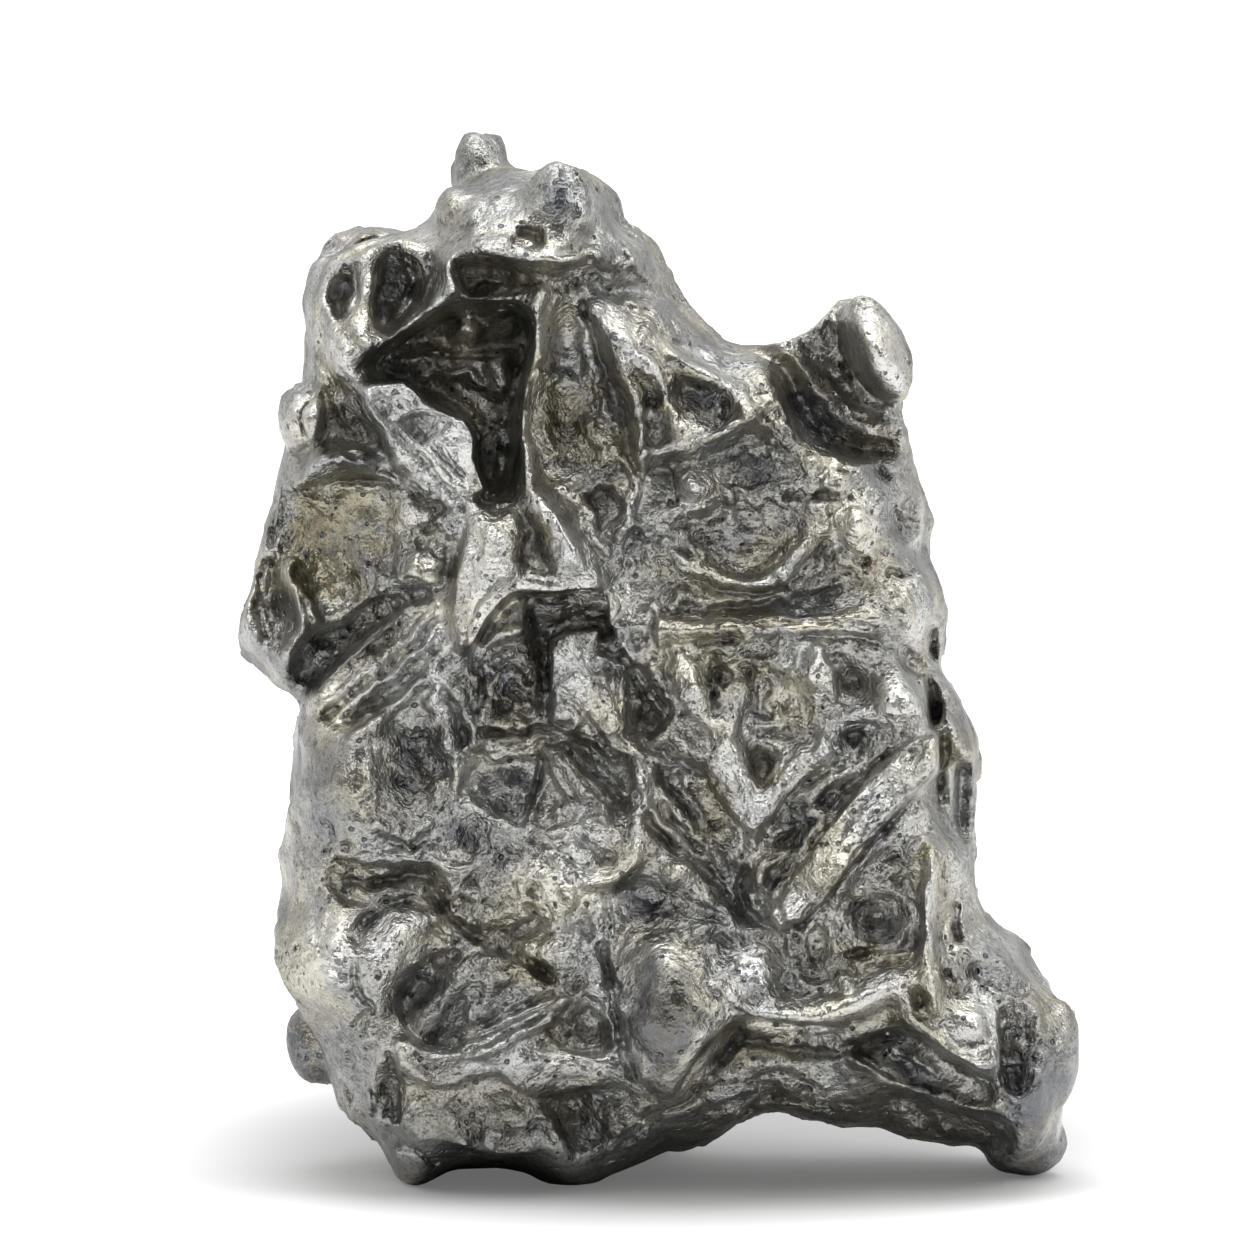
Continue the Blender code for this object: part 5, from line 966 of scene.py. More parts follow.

# Where the front is painted brighter: painted highlights on faces turned to the light, partly rubbed bright
# metal.
PALE = [
    Boss(-8.7, 31.4, 1.7, 3.4, 1.6, 8, F), Boss(-9.2, 28.7, 0.9, 1.8, 1.2, -30, F),
    Boss(-7.2, 27.9, 0.6, 0.5, 1.2), Boss(9.2, 23.6, 4.4, 2.2, 0.5, 0, F), Boss(11.0, 13.6, 2.6, 2.6, 0.6),
    Boss(-2.0, 21.0, 4.0, 3.0, 0.25, 0, F),
    Fold(0.8, 1.0, [(-6.0, 34.2), (-5.1, 33.2), (-4.5, 32.0), (-3.4, 30.6)]),
    Plate(1.0, 0.8, [(-14.7, 40.0), (-12.2, 40.3), (-11.9, 39.0), (-10.0, 38.6), (-9.2, 37.4),
        (-9.0, 35.2), (-10.4, 34.2), (-12.6, 36.4), (-14.4, 39.0)]),
    Fold(0.9, 0.9, [(-12.0, 47.7), (-14.6, 47.1), (-16.6, 46.0), (-17.3, 44.2), (-16.8, 42.6),
        (-15.6, 41.3), (-14.4, 40.7)]),
    Fold(0.7, 1.0, [(-14.6, 47.0), (-14.5, 45.6), (-15.1, 44.2), (-14.4, 42.8)]),
    Fold(0.6, 0.8, [(-13.6, 42.2), (-11.6, 43.4), (-10.5, 44.9), (-10.3, 46.0)]),
    Boss(-6.6, 47.1, 0.7, 0.6, 1.5), Boss(-7.4, 46.7, 3.2, 0.6, 0.6, 0, F),
    Boss(-9.5, 42.6, 0.9, 1.0, 1.0),
    Fold(0.6, 1.0, [(-5.7, 44.8), (-6.2, 41.6), (-7.0, 39.0), (-6.4, 36.0)]),
    Fold(0.9, 0.8, [(-2.6, 43.9), (-0.5, 41.4), (0.8, 39.6), (1.2, 38.0)]),
    Fold(0.9, 0.8, [(0.2, 42.4), (2.4, 40.8), (4.4, 39.2)]), Boss(1.9, 37.9, 1.3, 1.0, 1.2, 15),
    Fold(1.4, 0.1, [(-1.4, 44.6), (1.6, 43.2), (4.4, 41.4), (6.2, 40.0)]),
    Boss(11.2, 41.9, 1.3, 2.8, 1.2, 22, F), Boss(9.8, 32.9, 1.5, 1.9, 1.1, -15, F),
    Boss(1.9, 35.0, 1.2, 1.3, 1.0, 0, F), Boss(-4.2, 25.6, 1.2, 2.7, 1.2, 20, F),
    Boss(-2.2, 24.4, 0.8, 1.7, 0.9, 0, F), Boss(12.2, 24.6, 1.5, 1.9, 1.1, 0, F),
    Boss(13.2, 28.8, 1.2, 2.4, 0.8, 0, F), Boss(1.6, 25.0, 1.2, 2.3, 0.8, 18, F),
    Boss(7.6, 26.0, 1.3, 1.5, 0.9, 20, F), Boss(3.6, 24.6, 0.8, 1.9, 0.7, 0, F),
    Fold(1.1, 0.65, [(13.4, 22.2), (10.6, 19.6), (8.2, 16.9), (6.2, 13.8)], F),
    Fold(1.0, 0.9, [(3.0, 23.0), (4.4, 19.6), (4.8, 17.8)], F),
    Fold(0.8, 0.8, [(4.9, 18.4), (6.3, 20.6), (8.4, 22.0)], F), Boss(-4.8, 14.2, 3.0, 3.9, 1.0, -15, F),
    Boss(-3.4, 18.0, 2.0, 1.6, 0.8, -30, F), Boss(-10.9, 24.9, 0.7, 1.8, 0.9, 8, F),
    Boss(-9.8, 21.0, 0.7, 1.4, 0.8, -15, F), Fold(0.6, 0.8, [(-9.6, 19.7), (-8.4, 18.7), (-6.8, 18.1)]),
    Fold(0.6, 0.8, [(-0.6, 21.0), (-0.8, 19.2), (-1.2, 16.6), (-3.6, 15.2)]),
    Fold(0.5, 0.7, [(0.0, 20.0), (1.6, 18.0), (3.2, 16.6)]), Boss(1.6, 15.6, 1.6, 1.2, 0.8, -30, F),
    Fold(0.9, 1.0, [(4.4, 11.6), (3.6, 9.4), (2.2, 6.8), (0.6, 5.0)]),
    Boss(5.4, 11.6, 1.3, 1.4, 1.0, 0, F), Boss(0.4, 12.0, 1.2, 0.8, 0.7, 0, F),
    Boss(-13.2, 12.0, 1.9, 2.5, 0.8, -25, F), Boss(-16.9, 11.4, 2.2, 3.0, 0.7, 0, F),
    Fold(1.0, 0.9, [(4.9, 8.4), (8.5, 8.6), (11.0, 9.9), (13.2, 10.5)]),
    Fold(0.6, 1.0, [(13.6, 16.6), (13.3, 13.0), (13.8, 9.2)]), Boss(15.4, 8.6, 1.4, 2.2, 0.8, -40, F),
    Fold(1.0, 0.6, [(-13.0, 7.4), (-8.6, 6.7), (-1.2, 6.6)]),
    Fold(0.6, 1.0, [(-11.0, 7.0), (-8.0, 8.0), (-4.8, 9.4)]), Boss(-3.0, 9.6, 0.9, 1.5, 0.9, 0, F),
    Boss(-12.4, 33.6, 1.2, 1.0, 0.9, 30, F), Boss(-11.8, 31.0, 1.2, 1.0, 0.9, 0, F),
    Fold(0.6, 0.7, [(1.2, 31.3), (4.5, 30.2), (7.0, 31.9), (8.6, 33.6)]),
    Fold(0.5, 0.8, [(-20.7, 27.2), (-20.8, 29.4), (-19.8, 33.4), (-18.9, 37.0)]),
    Boss(-18.1, 38.7, 0.9, 1.3, 0.9, 0, F), Boss(-1.6, 29.4, 1.2, 0.8, 0.8, 0, F),
    Fold(1.3, 0.9, [(-10.8, 28.2), (-13.0, 26.3), (-15.6, 24.4)], F),
    Boss(-16.0, 23.2, 1.6, 0.7, 0.7, 15, F), Boss(6.4, 5.0, 5.0, 1.0, 0.5, 0, F),
    Boss(15.2, 15.6, 0.9, 2.4, 0.6, 15, F), Boss(12.8, 18.2, 1.4, 1.3, 0.9),
    Fold(0.5, 0.9, [(-9.8, 27.6), (-8.4, 29.3), (-6.4, 30.2), (-3.0, 30.2)]),
    Boss(9.0, 28.2, 3.0, 0.8, 0.6), Boss(-7.0, 15.8, 1.0, 0.9, 0.6), Boss(-2.6, 12.4, 1.2, 1.6, 0.5),
]

# Where the front is painted darker: painted shade and painted dark reflections.
SHADE = [
    Boss(0.4, 8.8, 1.9, 3.3, 1.3, -6, F), Boss(0.3, 7.4, 1.6, 1.3, 0.9),
    Boss(-16.8, 20.0, 2.2, 4.2, 0.5, 0, F), Boss(1.6, 41.4, 4.4, 1.8, 0.5, -35, F),
    Boss(-16.2, 32.4, 3.0, 3.4, 0.3, 0, F), Boss(-12.4, 21.4, 1.3, 2.4, 1.0, -12),
    Boss(-9.9, 17.5, 1.2, 1.2, 1.0), Boss(4.7, 35.8, 1.8, 1.7, 0.8), Boss(-7.6, 24.8, 1.7, 1.9, 0.7, 0, F),
    Boss(11.2, 13.4, 2.2, 1.3, 1.0), Boss(-0.9, 14.2, 1.5, 1.1, 0.9, -10), Boss(5.2, 21.4, 0.8, 1.3, 0.9),
    Boss(7.6, 18.6, 2.2, 0.9, 0.6, 35), Fold(0.35, 0.5, [(12.6, 19.3), (10.3, 16.8), (7.6, 13.8)]),
    Boss(1.2, 19.4, 1.0, 2.4, 0.9, 40, F), Boss(2.3, 39.3, 1.6, 0.8, 0.9, -25),
    Boss(0.1, 38.4, 0.7, 1.8, 0.9, 15), Boss(-5.0, 49.7, 0.8, 1.5, 1.6),
    Boss(-11.4, 9.8, 1.1, 1.9, 0.35, -35), Boss(-7.5, 20.4, 1.5, 1.3, 0.6), Boss(-4.4, 8.0, 0.9, 0.7, 0.5),
    Boss(-4.3, 38.6, 1.7, 4.6, 0.35, 5), Boss(19.0, 4.4, 2.2, 4.2, 0.9, 0, F),
    Boss(4.4, 32.4, 4.4, 2.0, 0.25, 0, F), Boss(-9.0, 3.2, 4.0, 1.6, 0.4, 0, F),
    Boss(5.3, 25.0, 1.0, 1.2, 0.7), Boss(10.2, 22.4, 1.5, 1.1, 0.5), Boss(3.0, 24.6, 0.5, 1.6, 0.7, 10),
    Boss(-6.3, 32.4, 0.8, 1.8, 0.8, -20), Boss(6.0, 15.4, 0.9, 1.1, 0.9),
    Boss(-15.2, 36.2, 1.9, 1.2, 0.7, 15), Boss(13.2, 5.8, 3.6, 1.1, 0.9, -35),
    Boss(-14.4, 13.4, 1.0, 1.0, 0.4), Boss(-2.0, 22.2, 2.8, 0.6, 0.8, -42),
    Boss(6.6, 40.0, 1.6, 0.8, 0.3, -40), Boss(-19.2, 29.8, 0.7, 2.0, 0.8, -8),
    Boss(2.0, 45.0, 1.6, 0.7, 0.4, -30), Boss(6.6, 37.8, 2.4, 1.4, 0.4), Boss(11.0, 36.0, 2.0, 0.9, 0.6),
    Boss(-10.4, 36.9, 0.9, 0.4, 0.6, -35), Boss(15.2, 11.0, 1.2, 1.0, 0.5),
    Boss(-2.2, 46.6, 1.4, 0.8, 0.5),
]

# Where the knobs behind the front are made darker.
BEHIND = [
    Boss(-17.4, 7.0, 2.2, 2.9, 0.5, 0, F), Boss(-9.6, 51.2, 0.9, 1.2, 0.9),
]

# Where the front is smooth, without facets.
CALM = [
    Boss(0.6, 8.3, 2.6, 4.4, 1.0, -6, F), Boss(-16.6, 20.0, 2.8, 4.5, 0.9, 0, F),
    Boss(-16.9, 44.2, 1.4, 4.0, 1.0, 0, F), Boss(-7.4, 49.2, 4.4, 3.0, 1.0, 0, F),
    Boss(11.1, 42.0, 1.6, 3.2, 1.0, -15, F), Boss(20.0, 6.0, 1.6, 4.5, 0.9, 0, F),
    Boss(-5.0, 6.4, 5.0, 1.3, 0.8, 0, F), Boss(8.6, 9.0, 4.6, 1.5, 0.8, 10, F),
    Boss(-13.0, 12.2, 1.9, 2.6, 0.8, -25, F), Boss(-18.0, 38.6, 1.3, 1.7, 0.9, 0, F),
    Boss(3.2, 42.8, 3.4, 1.3, 0.7, -20, F), Boss(-15.5, 14.5, 1.8, 1.8, 0.4, 0, F),
    Boss(8.6, 40.4, 2.0, 3.2, 0.9, -40, F), Boss(11.2, 13.4, 2.2, 2.6, 0.8, 0, F),
    Boss(5.4, 28.2, 5.4, 1.0, 0.6, 2, F), Boss(12.0, 24.6, 1.9, 2.2, 0.7, 0, F),
    Boss(0.9, 16.2, 1.6, 1.4, 0.6, 0, F), Boss(5.2, 11.2, 1.5, 1.4, 0.8, 0, F),
    Boss(-7.4, 42.0, 5.0, 3.0, 0.8, 20, F), Boss(-16.2, 32.4, 2.6, 3.0, 0.7, 0, F),
    Boss(-5.6, 28.6, 3.2, 1.4, 0.9, 0, F),
]


class Leaning:
    """Turns places between the standing frame, in metres, and the leaning one, in millimetres."""

    def __init__(self) -> None:
        """Works out the turn once."""
        c, s = math.cos(LEAN), math.sin(LEAN)
        self.turn = np.array([[1.0, 0.0, 0.0], [0.0, s, c], [0.0, -c, s]])

    def lean(self, places: Array) -> Array:
        """Standing places as rows of u, v and w."""
        return (places / MM + np.array(SHIFT)) @ self.turn.T

    def stand(self, rows: Array) -> Array:
        """Rows of u, v and w as standing places."""
        return (rows @ self.turn - np.array(SHIFT)) * MM

    def outward(self) -> Array:
        """The direction of w in the standing frame."""
        return self.turn[2]


@dataclass
class Skin:
    """A mesh's corners, their normals and its edges, as arrays."""

    mesh: bpy.types.Mesh
    places: Array = field(init=False)
    normals: Array = field(init=False)

    def __post_init__(self) -> None:
        """Reads the mesh."""
        self.places = self.read(self.mesh.vertices, "co")
        self.normals = self.read(self.mesh.vertex_normals, "vector")

    @staticmethod
    def read(rows: Any, name: str) -> Array:
        """One row of three numbers for each item of a mesh's list."""
        flat = np.zeros(len(rows) * 3, np.float32)
        rows.foreach_get(name, flat)
        return flat.reshape(-1, 3).astype(float)

    def write(self, places: Array) -> None:
        """Moves the mesh's corners to the places given."""
        self.places = places
        self.mesh.vertices.foreach_set("co", places.astype(np.float32).ravel())
        self.mesh.update()
        self.normals = self.read(self.mesh.vertex_normals, "vector")

    def mark(self, name: str, values: Array) -> None:
        """Keeps one number for each corner as a named attribute."""
        mark = self.mesh.attributes.get(name) or self.mesh.attributes.new(name, "FLOAT", "POINT")
        mark.data.foreach_set("value", values.astype(np.float32))

    def spread(self, values: Array, steps: int) -> Array:
        """Evens out values over neighbouring corners.

        Args:
            values: One number or one row for each corner.
            steps: How many times each corner takes half of its neighbours' mean.

        Returns:
            The evened values.
        """
        edges = np.zeros(len(self.mesh.edges) * 2, np.int32)
        self.mesh.edges.foreach_get("vertices", edges)
        ends = np.concatenate([edges[0::2], edges[1::2]])
        others = np.concatenate([edges[1::2], edges[0::2]])
        count = len(self.places)
        degree = np.maximum(np.bincount(ends, minlength=count), 1)
        columns = values.reshape(count, -1).T.copy()
        for _ in range(steps):
            for column in columns:
                mean = np.bincount(ends, weights=column[others], minlength=count) / degree
                column += 0.5 * (mean - column)
        return columns.T.reshape(values.shape)


class Nodes:
    """Adds nodes to one tree and links them."""

    ROW = 12
    STEP = (180, -260)

    def __init__(self, tree: bpy.types.NodeTree) -> None:
        """Takes the tree that the nodes go into."""
        self.tree = tree
        self.count = 0

    def add(self, kind: str, inputs: dict[Any, Any] | None = None, **settings: Any) -> bpy.types.Node:
        """Adds one node.

        Args:
            kind: The node's type.
            inputs: Values or sockets for its inputs, by name or number.
            **settings: Values for the node's own properties.

        Returns:
            The node.
        """
        node = self.tree.nodes.new(kind)
        row, column = divmod(self.count, self.ROW)
        node.location = (self.STEP[0] * column, self.STEP[1] * row)
        self.count += 1
        for name, value in settings.items():
            setattr(node, name, value)
        for name, value in (inputs or {}).items():
            socket = node.inputs[name]
            if isinstance(value, bpy.types.NodeSocket):
                self.tree.links.new(value, socket)
            else:
                socket.default_value = value
        return node

    def math(self, operation: str, first: Any, second: Any = 0.0, clamp: bool = False) -> Any:
        """The result of one arithmetic step on values or sockets."""
        node = self.add("ShaderNodeMath", {0: first, 1: second}, operation=operation, use_clamp=clamp)
        return node.outputs[0]

    def span(self, value: Any, low: float, high: float, to_low: float = 0.0, to_high: float = 1.0) -> Any:
        """A value carried smoothly from one span to another, and held at its ends."""
        inputs = {"Value": value, "From Min": low, "From Max": high, "To Min": to_low, "To Max": to_high}
        node = self.add("ShaderNodeMapRange", inputs, interpolation_type="SMOOTHSTEP")
        return node.outputs[0]

    def mix(self, share: Any, first: Any, second: Any, blend: str = "MIX") -> Any:
        """The first colour blended with the second by a share."""
        node = self.add("ShaderNodeMix", {0: share, 6: first, 7: second}, data_type="RGBA",
                        blend_type=blend)
        return node.outputs[2]


@dataclass(frozen=True)
class Crumple:
    """The node tree that folds the sides and the back, and roughens the front a little."""

    fold_size: float = 5.2 * MM
    fold_depth: float = 0.6 * MM
    fold_border: float = 0.42
    ridge_size: float = 3.4 * MM
    ridge_height: float = 0.3 * MM
    ridge_width: float = 0.07
    crease_size: float = 4.6 * MM
    crease_depth: float = 0.35 * MM
    crease_width: float = 0.035
    rough_size: float = 1.7 * MM
    rough_depth: float = 0.1 * MM
    sharpness: float = 1.5
    seed: int = 6
    shifts: tuple[float, ...] = (3.1, 7.7, 12.9, 21.3)

    def tree(self) -> bpy.types.NodeTree:
        """Builds the tree, with a named input for each size."""
        tree = bpy.data.node_groups.new("crumpled metal", "GeometryNodeTree")
        tree.interface.new_socket("Geometry", in_out="INPUT", socket_type="NodeSocketGeometry")
        for name in self.sizes():
            tree.interface.new_socket(name, in_out="INPUT", socket_type="NodeSocketFloat")
        tree.interface.new_socket("Metal", in_out="INPUT", socket_type="NodeSocketMaterial")
        tree.interface.new_socket("Geometry", in_out="OUTPUT", socket_type="NodeSocketGeometry")
        nodes = Nodes(tree)
        given = nodes.add("NodeGroupInput").outputs
        fold_shift, ridge_shift, crease_shift, rough_shift = self.shifts
        place = nodes.add("GeometryNodeInputPosition").outputs[0]

        def scaled(size: Any, shift: float) -> Any:
            """The place measured in steps of a size, moved so that patterns differ."""
            step = nodes.math("DIVIDE", 1.0, size)
            vector = nodes.add("ShaderNodeVectorMath", {0: place, "Scale": step}, operation="SCALE")
            offset = nodes.math("ADD", given["Seed"], shift)
            return nodes.add("ShaderNodeVectorMath", {0: vector.outputs[0], 1: offset}).outputs[0]

        def noise(size: Any, shift: float) -> Any:
            """A wandering value round 0.5, bent by its own distortion."""
            inputs = {"Vector": scaled(size, shift), "Scale": 1.0, "Detail": 1.0,
                      "Roughness": 0.5, "Distortion": 0.5}
            return nodes.add("ShaderNodeTexNoise", inputs).outputs[0]

        def line(value: Any, width: float) -> Any:
            """1 where the value crosses 0.5, falling to 0 over the width."""
            away = nodes.math("ABSOLUTE", nodes.math("SUBTRACT", value, 0.5))
            near = nodes.math("SUBTRACT", 1.0, nodes.math("DIVIDE", away, width), True)
            return nodes.math("POWER", near, self.sharpness)

        inputs = {"Vector": scaled(given["Fold size"], fold_shift), "Scale": 1.0}
        cell = nodes.add("ShaderNodeTexVoronoi", inputs, feature="DISTANCE_TO_EDGE")
        scoop = nodes.span(cell.outputs["Distance"], 0.0, self.fold_border)
        total = nodes.math("MULTIPLY", nodes.math("MULTIPLY", scoop, given["Fold depth"]), -1.0)
        ridge = line(noise(given["Ridge size"], ridge_shift), self.ridge_width)
        total = nodes.math("ADD", total, nodes.math("MULTIPLY", ridge, given["Ridge height"]))
        crease = line(noise(given["Crease size"], crease_shift), self.crease_width)
        total = nodes.math("SUBTRACT", total, nodes.math("MULTIPLY", crease, given["Crease depth"]))
        rough = nodes.math("SUBTRACT", noise(given["Rough size"], rough_shift), 0.5)
        total = nodes.math("ADD", total, nodes.math("MULTIPLY", rough, given["Rough depth"]))
        share = nodes.add("GeometryNodeInputNamedAttribute", {"Name": "loose"}, data_type="FLOAT")
        total = nodes.math("MULTIPLY", total, share.outputs[0])
        normal = nodes.add("GeometryNodeInputNormal").outputs[0]
        offset = nodes.add("ShaderNodeVectorMath", {0: normal, "Scale": total}, operation="SCALE")
        moved = nodes.add("GeometryNodeSetPosition", {"Geometry": given["Geometry"],
                                                      "Offset": offset.outputs[0]})
        whole = nodes.add("GeometryNodeRealizeInstances", {0: moved.outputs[0]})
        dressed = nodes.add("GeometryNodeSetMaterial", {"Geometry": whole.outputs[0],
                                                        "Material": given["Metal"]})
        nodes.add("NodeGroupOutput", {0: dressed.outputs[0]})
        return tree

    def sizes(self) -> dict[str, float]:
        """The tree's numbers, by the names of its inputs."""
        return {
            "Fold size": self.fold_size, "Fold depth": self.fold_depth,
            "Ridge size": self.ridge_size, "Ridge height": self.ridge_height,
            "Crease size": self.crease_size, "Crease depth": self.crease_depth,
            "Rough size": self.rough_size, "Rough depth": self.rough_depth,
            "Seed": float(self.seed),
        }

    def apply(self, mesh: bpy.types.Mesh, metal: bpy.types.Material) -> bpy.types.Mesh:
        """Folds a mesh.

        Args:
            mesh: The mesh, with its attribute named loose.
            metal: The material that the tree gives it.

        Returns:
            The folded mesh.
        """
        tree = self.tree()
        values: dict[str, Any] = {**self.sizes(), "Metal": metal}
        holder = bpy.data.objects.new("holder", mesh)
        bpy.context.collection.objects.link(holder)
        modifier = holder.modifiers.new("crumple", "NODES")
        modifier.node_group = tree
        for socket in tree.interface.items_tree:
            if socket.in_out == "INPUT" and socket.name in values:
                modifier[socket.identifier] = values[socket.name]
        return taken(holder)


def taken(holder: bpy.types.Object) -> bpy.types.Mesh:
    """The mesh of an object as its modifiers leave it; the object itself goes."""
    bpy.context.view_layer.update()
    graph = bpy.context.evaluated_depsgraph_get()
    mesh = bpy.data.meshes.new_from_object(holder.evaluated_get(graph))
    bpy.data.objects.remove(holder)
    return mesh


def remade(mesh: bpy.types.Mesh, *steps: tuple[str, dict[str, Any]]) -> bpy.types.Mesh:
    """A mesh after a row of modifiers.

    Args:
        mesh: The mesh to start from.
        *steps: Each modifier's type, and its values by name.

    Returns:
        The mesh that comes out.
    """
    holder = bpy.data.objects.new("holder", mesh)
    bpy.context.collection.objects.link(holder)
    for kind, values in steps:
        modifier = holder.modifiers.new(kind, kind)
        for name, value in values.items():
            setattr(modifier, name, value)
    return taken(holder)


@dataclass(frozen=True)
class MeteoricIron:
    """Bare iron, faintly olive in places, with painted highlights on lit faces and crests and painted shade
    on shaded faces and in hollows; in part it is brighter where rubbed and darker with patina in the
    hollows.

    The sizes and depths are in millimetres. A share is how much a layer of colour covers of what lies under
    it; the layers are stains, marks, painted highlights and painted shade.
    """

    bright: tuple[float, ...] = (0.74, 0.73, 0.69, 1.0)
    plain: tuple[float, ...] = (0.40, 0.39, 0.352, 1.0)
    dark: tuple[float, ...] = (0.15, 0.154, 0.166, 1.0)
    olive: tuple[float, ...] = (0.32, 0.285, 0.18, 1.0)
    rust: tuple[float, ...] = (0.16, 0.055, 0.03, 1.0)
    cool_tint: tuple[float, ...] = (0.985, 1.0, 1.045, 1.0)
    warm_tint: tuple[float, ...] = (1.025, 1.0, 0.915, 1.0)
    smooth: float = 0.28
    dull: float = 0.48
    olive_share: float = 0.8
    # Shares of painted highlight on pale faces and crests and of painted shade on shaded faces and in
    # hollows, partly wear and patina; the fleck, pit and rust shares are the metal's own marks.
    pale_share: float = 1.0
    shade_share: float = 0.85
    crest_share: float = 0.45
    fleck_share: float = 0.8
    hollow_share: float = 0.25
    patina_and_shade_share: float = 0.5
    pit_share: float = 0.95
    rust_share: float = 0.75
    blotch_size: float = 4.0
    wrinkle_size: float = 0.9
    wrinkle_depth: float = 0.3
    speckle_size: float = 0.5
    speckle_depth: float = 0.22
    grit_size: float = 0.17
    grit_depth: float = 0.08
    grit_strength: float = 0.9
    pit_size: float = 0.75
    pit_depth: float = 0.13
    cell_size: float = 1.5
    cell_depth: float = 0.3
    bend_size: float = 1.6
    bend_reach: float = 1.1

    def material(self) -> bpy.types.Material:
        """Builds the material from the skin's attributes and its Object coordinates."""
        material = bpy.data.materials.new("meteoric iron")
        material.use_nodes = True
        tree = material.node_tree
        shader = tree.nodes["Principled BSDF"]
        shader.inputs["Metallic"].default_value = 1.0
        work = IronNodes(Nodes(tree), self)
        tree.links.new(work.colour(), shader.inputs["Base Color"])
        tree.links.new(work.roughness(), shader.inputs["Roughness"])
        tree.links.new(work.bump(), shader.inputs["Normal"])
        return material


class IronNodes:
    """Builds the iron's colour, roughness and bump from textures that the three share."""

    def __init__(self, nodes: Nodes, iron: MeteoricIron) -> None:
        """Adds the shared textures.

        Args:
            nodes: The material's nodes.
            iron: The finish that gives the numbers.
        """
        self.nodes = nodes
        self.iron = iron
        self.place = nodes.add("ShaderNodeTexCoord").outputs["Object"]
        self.blotch = self.noise(iron.blotch_size)
        self.speckle = self.noise(iron.speckle_size, 0.75)
        self.grit = self.noise(iron.grit_size, 0.7)
        self.wrinkle = self.noise(iron.wrinkle_size)
        pit = nodes.add("ShaderNodeTexVoronoi", {"Vector": self.place, "Scale": PER_METRE / iron.pit_size})
        few = nodes.span(self.wrinkle, 0.46, 0.56)
        self.pits = nodes.math("MULTIPLY", nodes.span(pit.outputs["Distance"], 0.24, 0.14), few)
        self.wide = nodes.math("SUBTRACT", self.blotch, 0.5)
        grit = nodes.math("MULTIPLY", nodes.math("SUBTRACT", self.grit, 0.5), iron.grit_strength)
        self.small = nodes.math("ADD", nodes.math("SUBTRACT", self.speckle, 0.5), grit)
        # How deep each place lies in a hollow: it paints shade into the colour there, partly the hollows'
        # dark patina, and dulls the roughness.
        self.hollow = nodes.span(self.broken("hollow", 0.5, 0.3), 0.2, 1.1)

    def mark(self, name: str) -> Any:
        """One of the skin's attributes."""
        return self.nodes.add("ShaderNodeAttribute", attribute_name=name).outputs["Fac"]

    def noise(self, size: float, rough: float = 0.55) -> Any:
        """A wandering value with features of about this size, in millimetres."""
        inputs = {"Vector": self.place, "Scale": PER_METRE / size, "Detail": 2.0, "Roughness": rough}
        return self.nodes.add("ShaderNodeTexNoise", inputs).outputs[0]

    def broken(self, name: str, by_wide: float, by_small: float) -> Any:
        """One of the skin's attributes, its borders broken up by the wide and the small wandering."""
        value = self.nodes.math("ADD", self.mark(name), self.nodes.math("MULTIPLY", self.wide, by_wide))
        return self.nodes.math("ADD", value, self.nodes.math("MULTIPLY", self.small, by_small))

    def colour(self) -> Any:
        """The metal's colour: plain iron with painted highlights and painted shade, partly real wear and
        patina, under its stains and pits.
        """
        nodes, iron = self.nodes, self.iron
        tone = self.broken("tone", 0.5, 2.6)
        # The tone paints highlights where it is high, partly rubbed metal, and shade and dark reflections
        # where it is low.
        pale = nodes.span(tone, -0.25, 1.05)
        shade = nodes.span(tone, 0.15, -1.0)
        # Crests get a painted highlight, partly their rubbed edges.
        crest = nodes.span(self.broken("crest", 0.9, 1.2), 0.25, 1.0)
        flecks = nodes.span(self.small, 0.1, 0.2)
        # Painted shade in the deepest hollows and under overhangs, partly their dark patina.
        patina_and_shade = nodes.span(self.broken("patina_and_shade", 0.6, 0.5), 0.15, 0.9)
        olive = nodes.math("MULTIPLY", self.mark("olive"), nodes.span(self.blotch, 0.32, 0.6))
        rust = nodes.math("MULTIPLY", self.mark("rust"), nodes.span(self.speckle, 0.48, 0.62))
        # The hollow layer paints shade into the hollows, partly their dark patina; flecks, pits and rust
        # are the metal's own.
        layers = (
            (olive, iron.olive_share, iron.olive), (pale, iron.pale_share, iron.bright),
            (shade, iron.shade_share, iron.dark), (crest, iron.crest_share, iron.bright),
            (flecks, iron.fleck_share, iron.dark), (self.hollow, iron.hollow_share, iron.dark),
            (patina_and_shade, iron.patina_and_shade_share, iron.dark), (self.pits, iron.pit_share, iron.dark),
            (rust, iron.rust_share, iron.rust),
        )
        colour: Any = iron.plain
        for cover, share, paint in layers:
            colour = nodes.mix(nodes.math("MULTIPLY", cover, share), colour, paint)
        warmth = nodes.math("ADD", self.blotch, nodes.math("MULTIPLY", olive, 0.35))
        tint = nodes.mix(nodes.span(warmth, 0.38, 0.7), iron.cool_tint, iron.warm_tint)
        return nodes.mix(1.0, colour, tint, "MULTIPLY")

    def roughness(self) -> Any:
        """The metal's roughness, duller in the hollows and where it is wrinkled."""
        nodes = self.nodes
        value = nodes.math("ADD", nodes.math("MULTIPLY", self.hollow, 0.5),
                           nodes.math("MULTIPLY", self.wrinkle, 0.6))
        return nodes.span(value, 0.15, 0.75, self.iron.smooth, self.iron.dull)

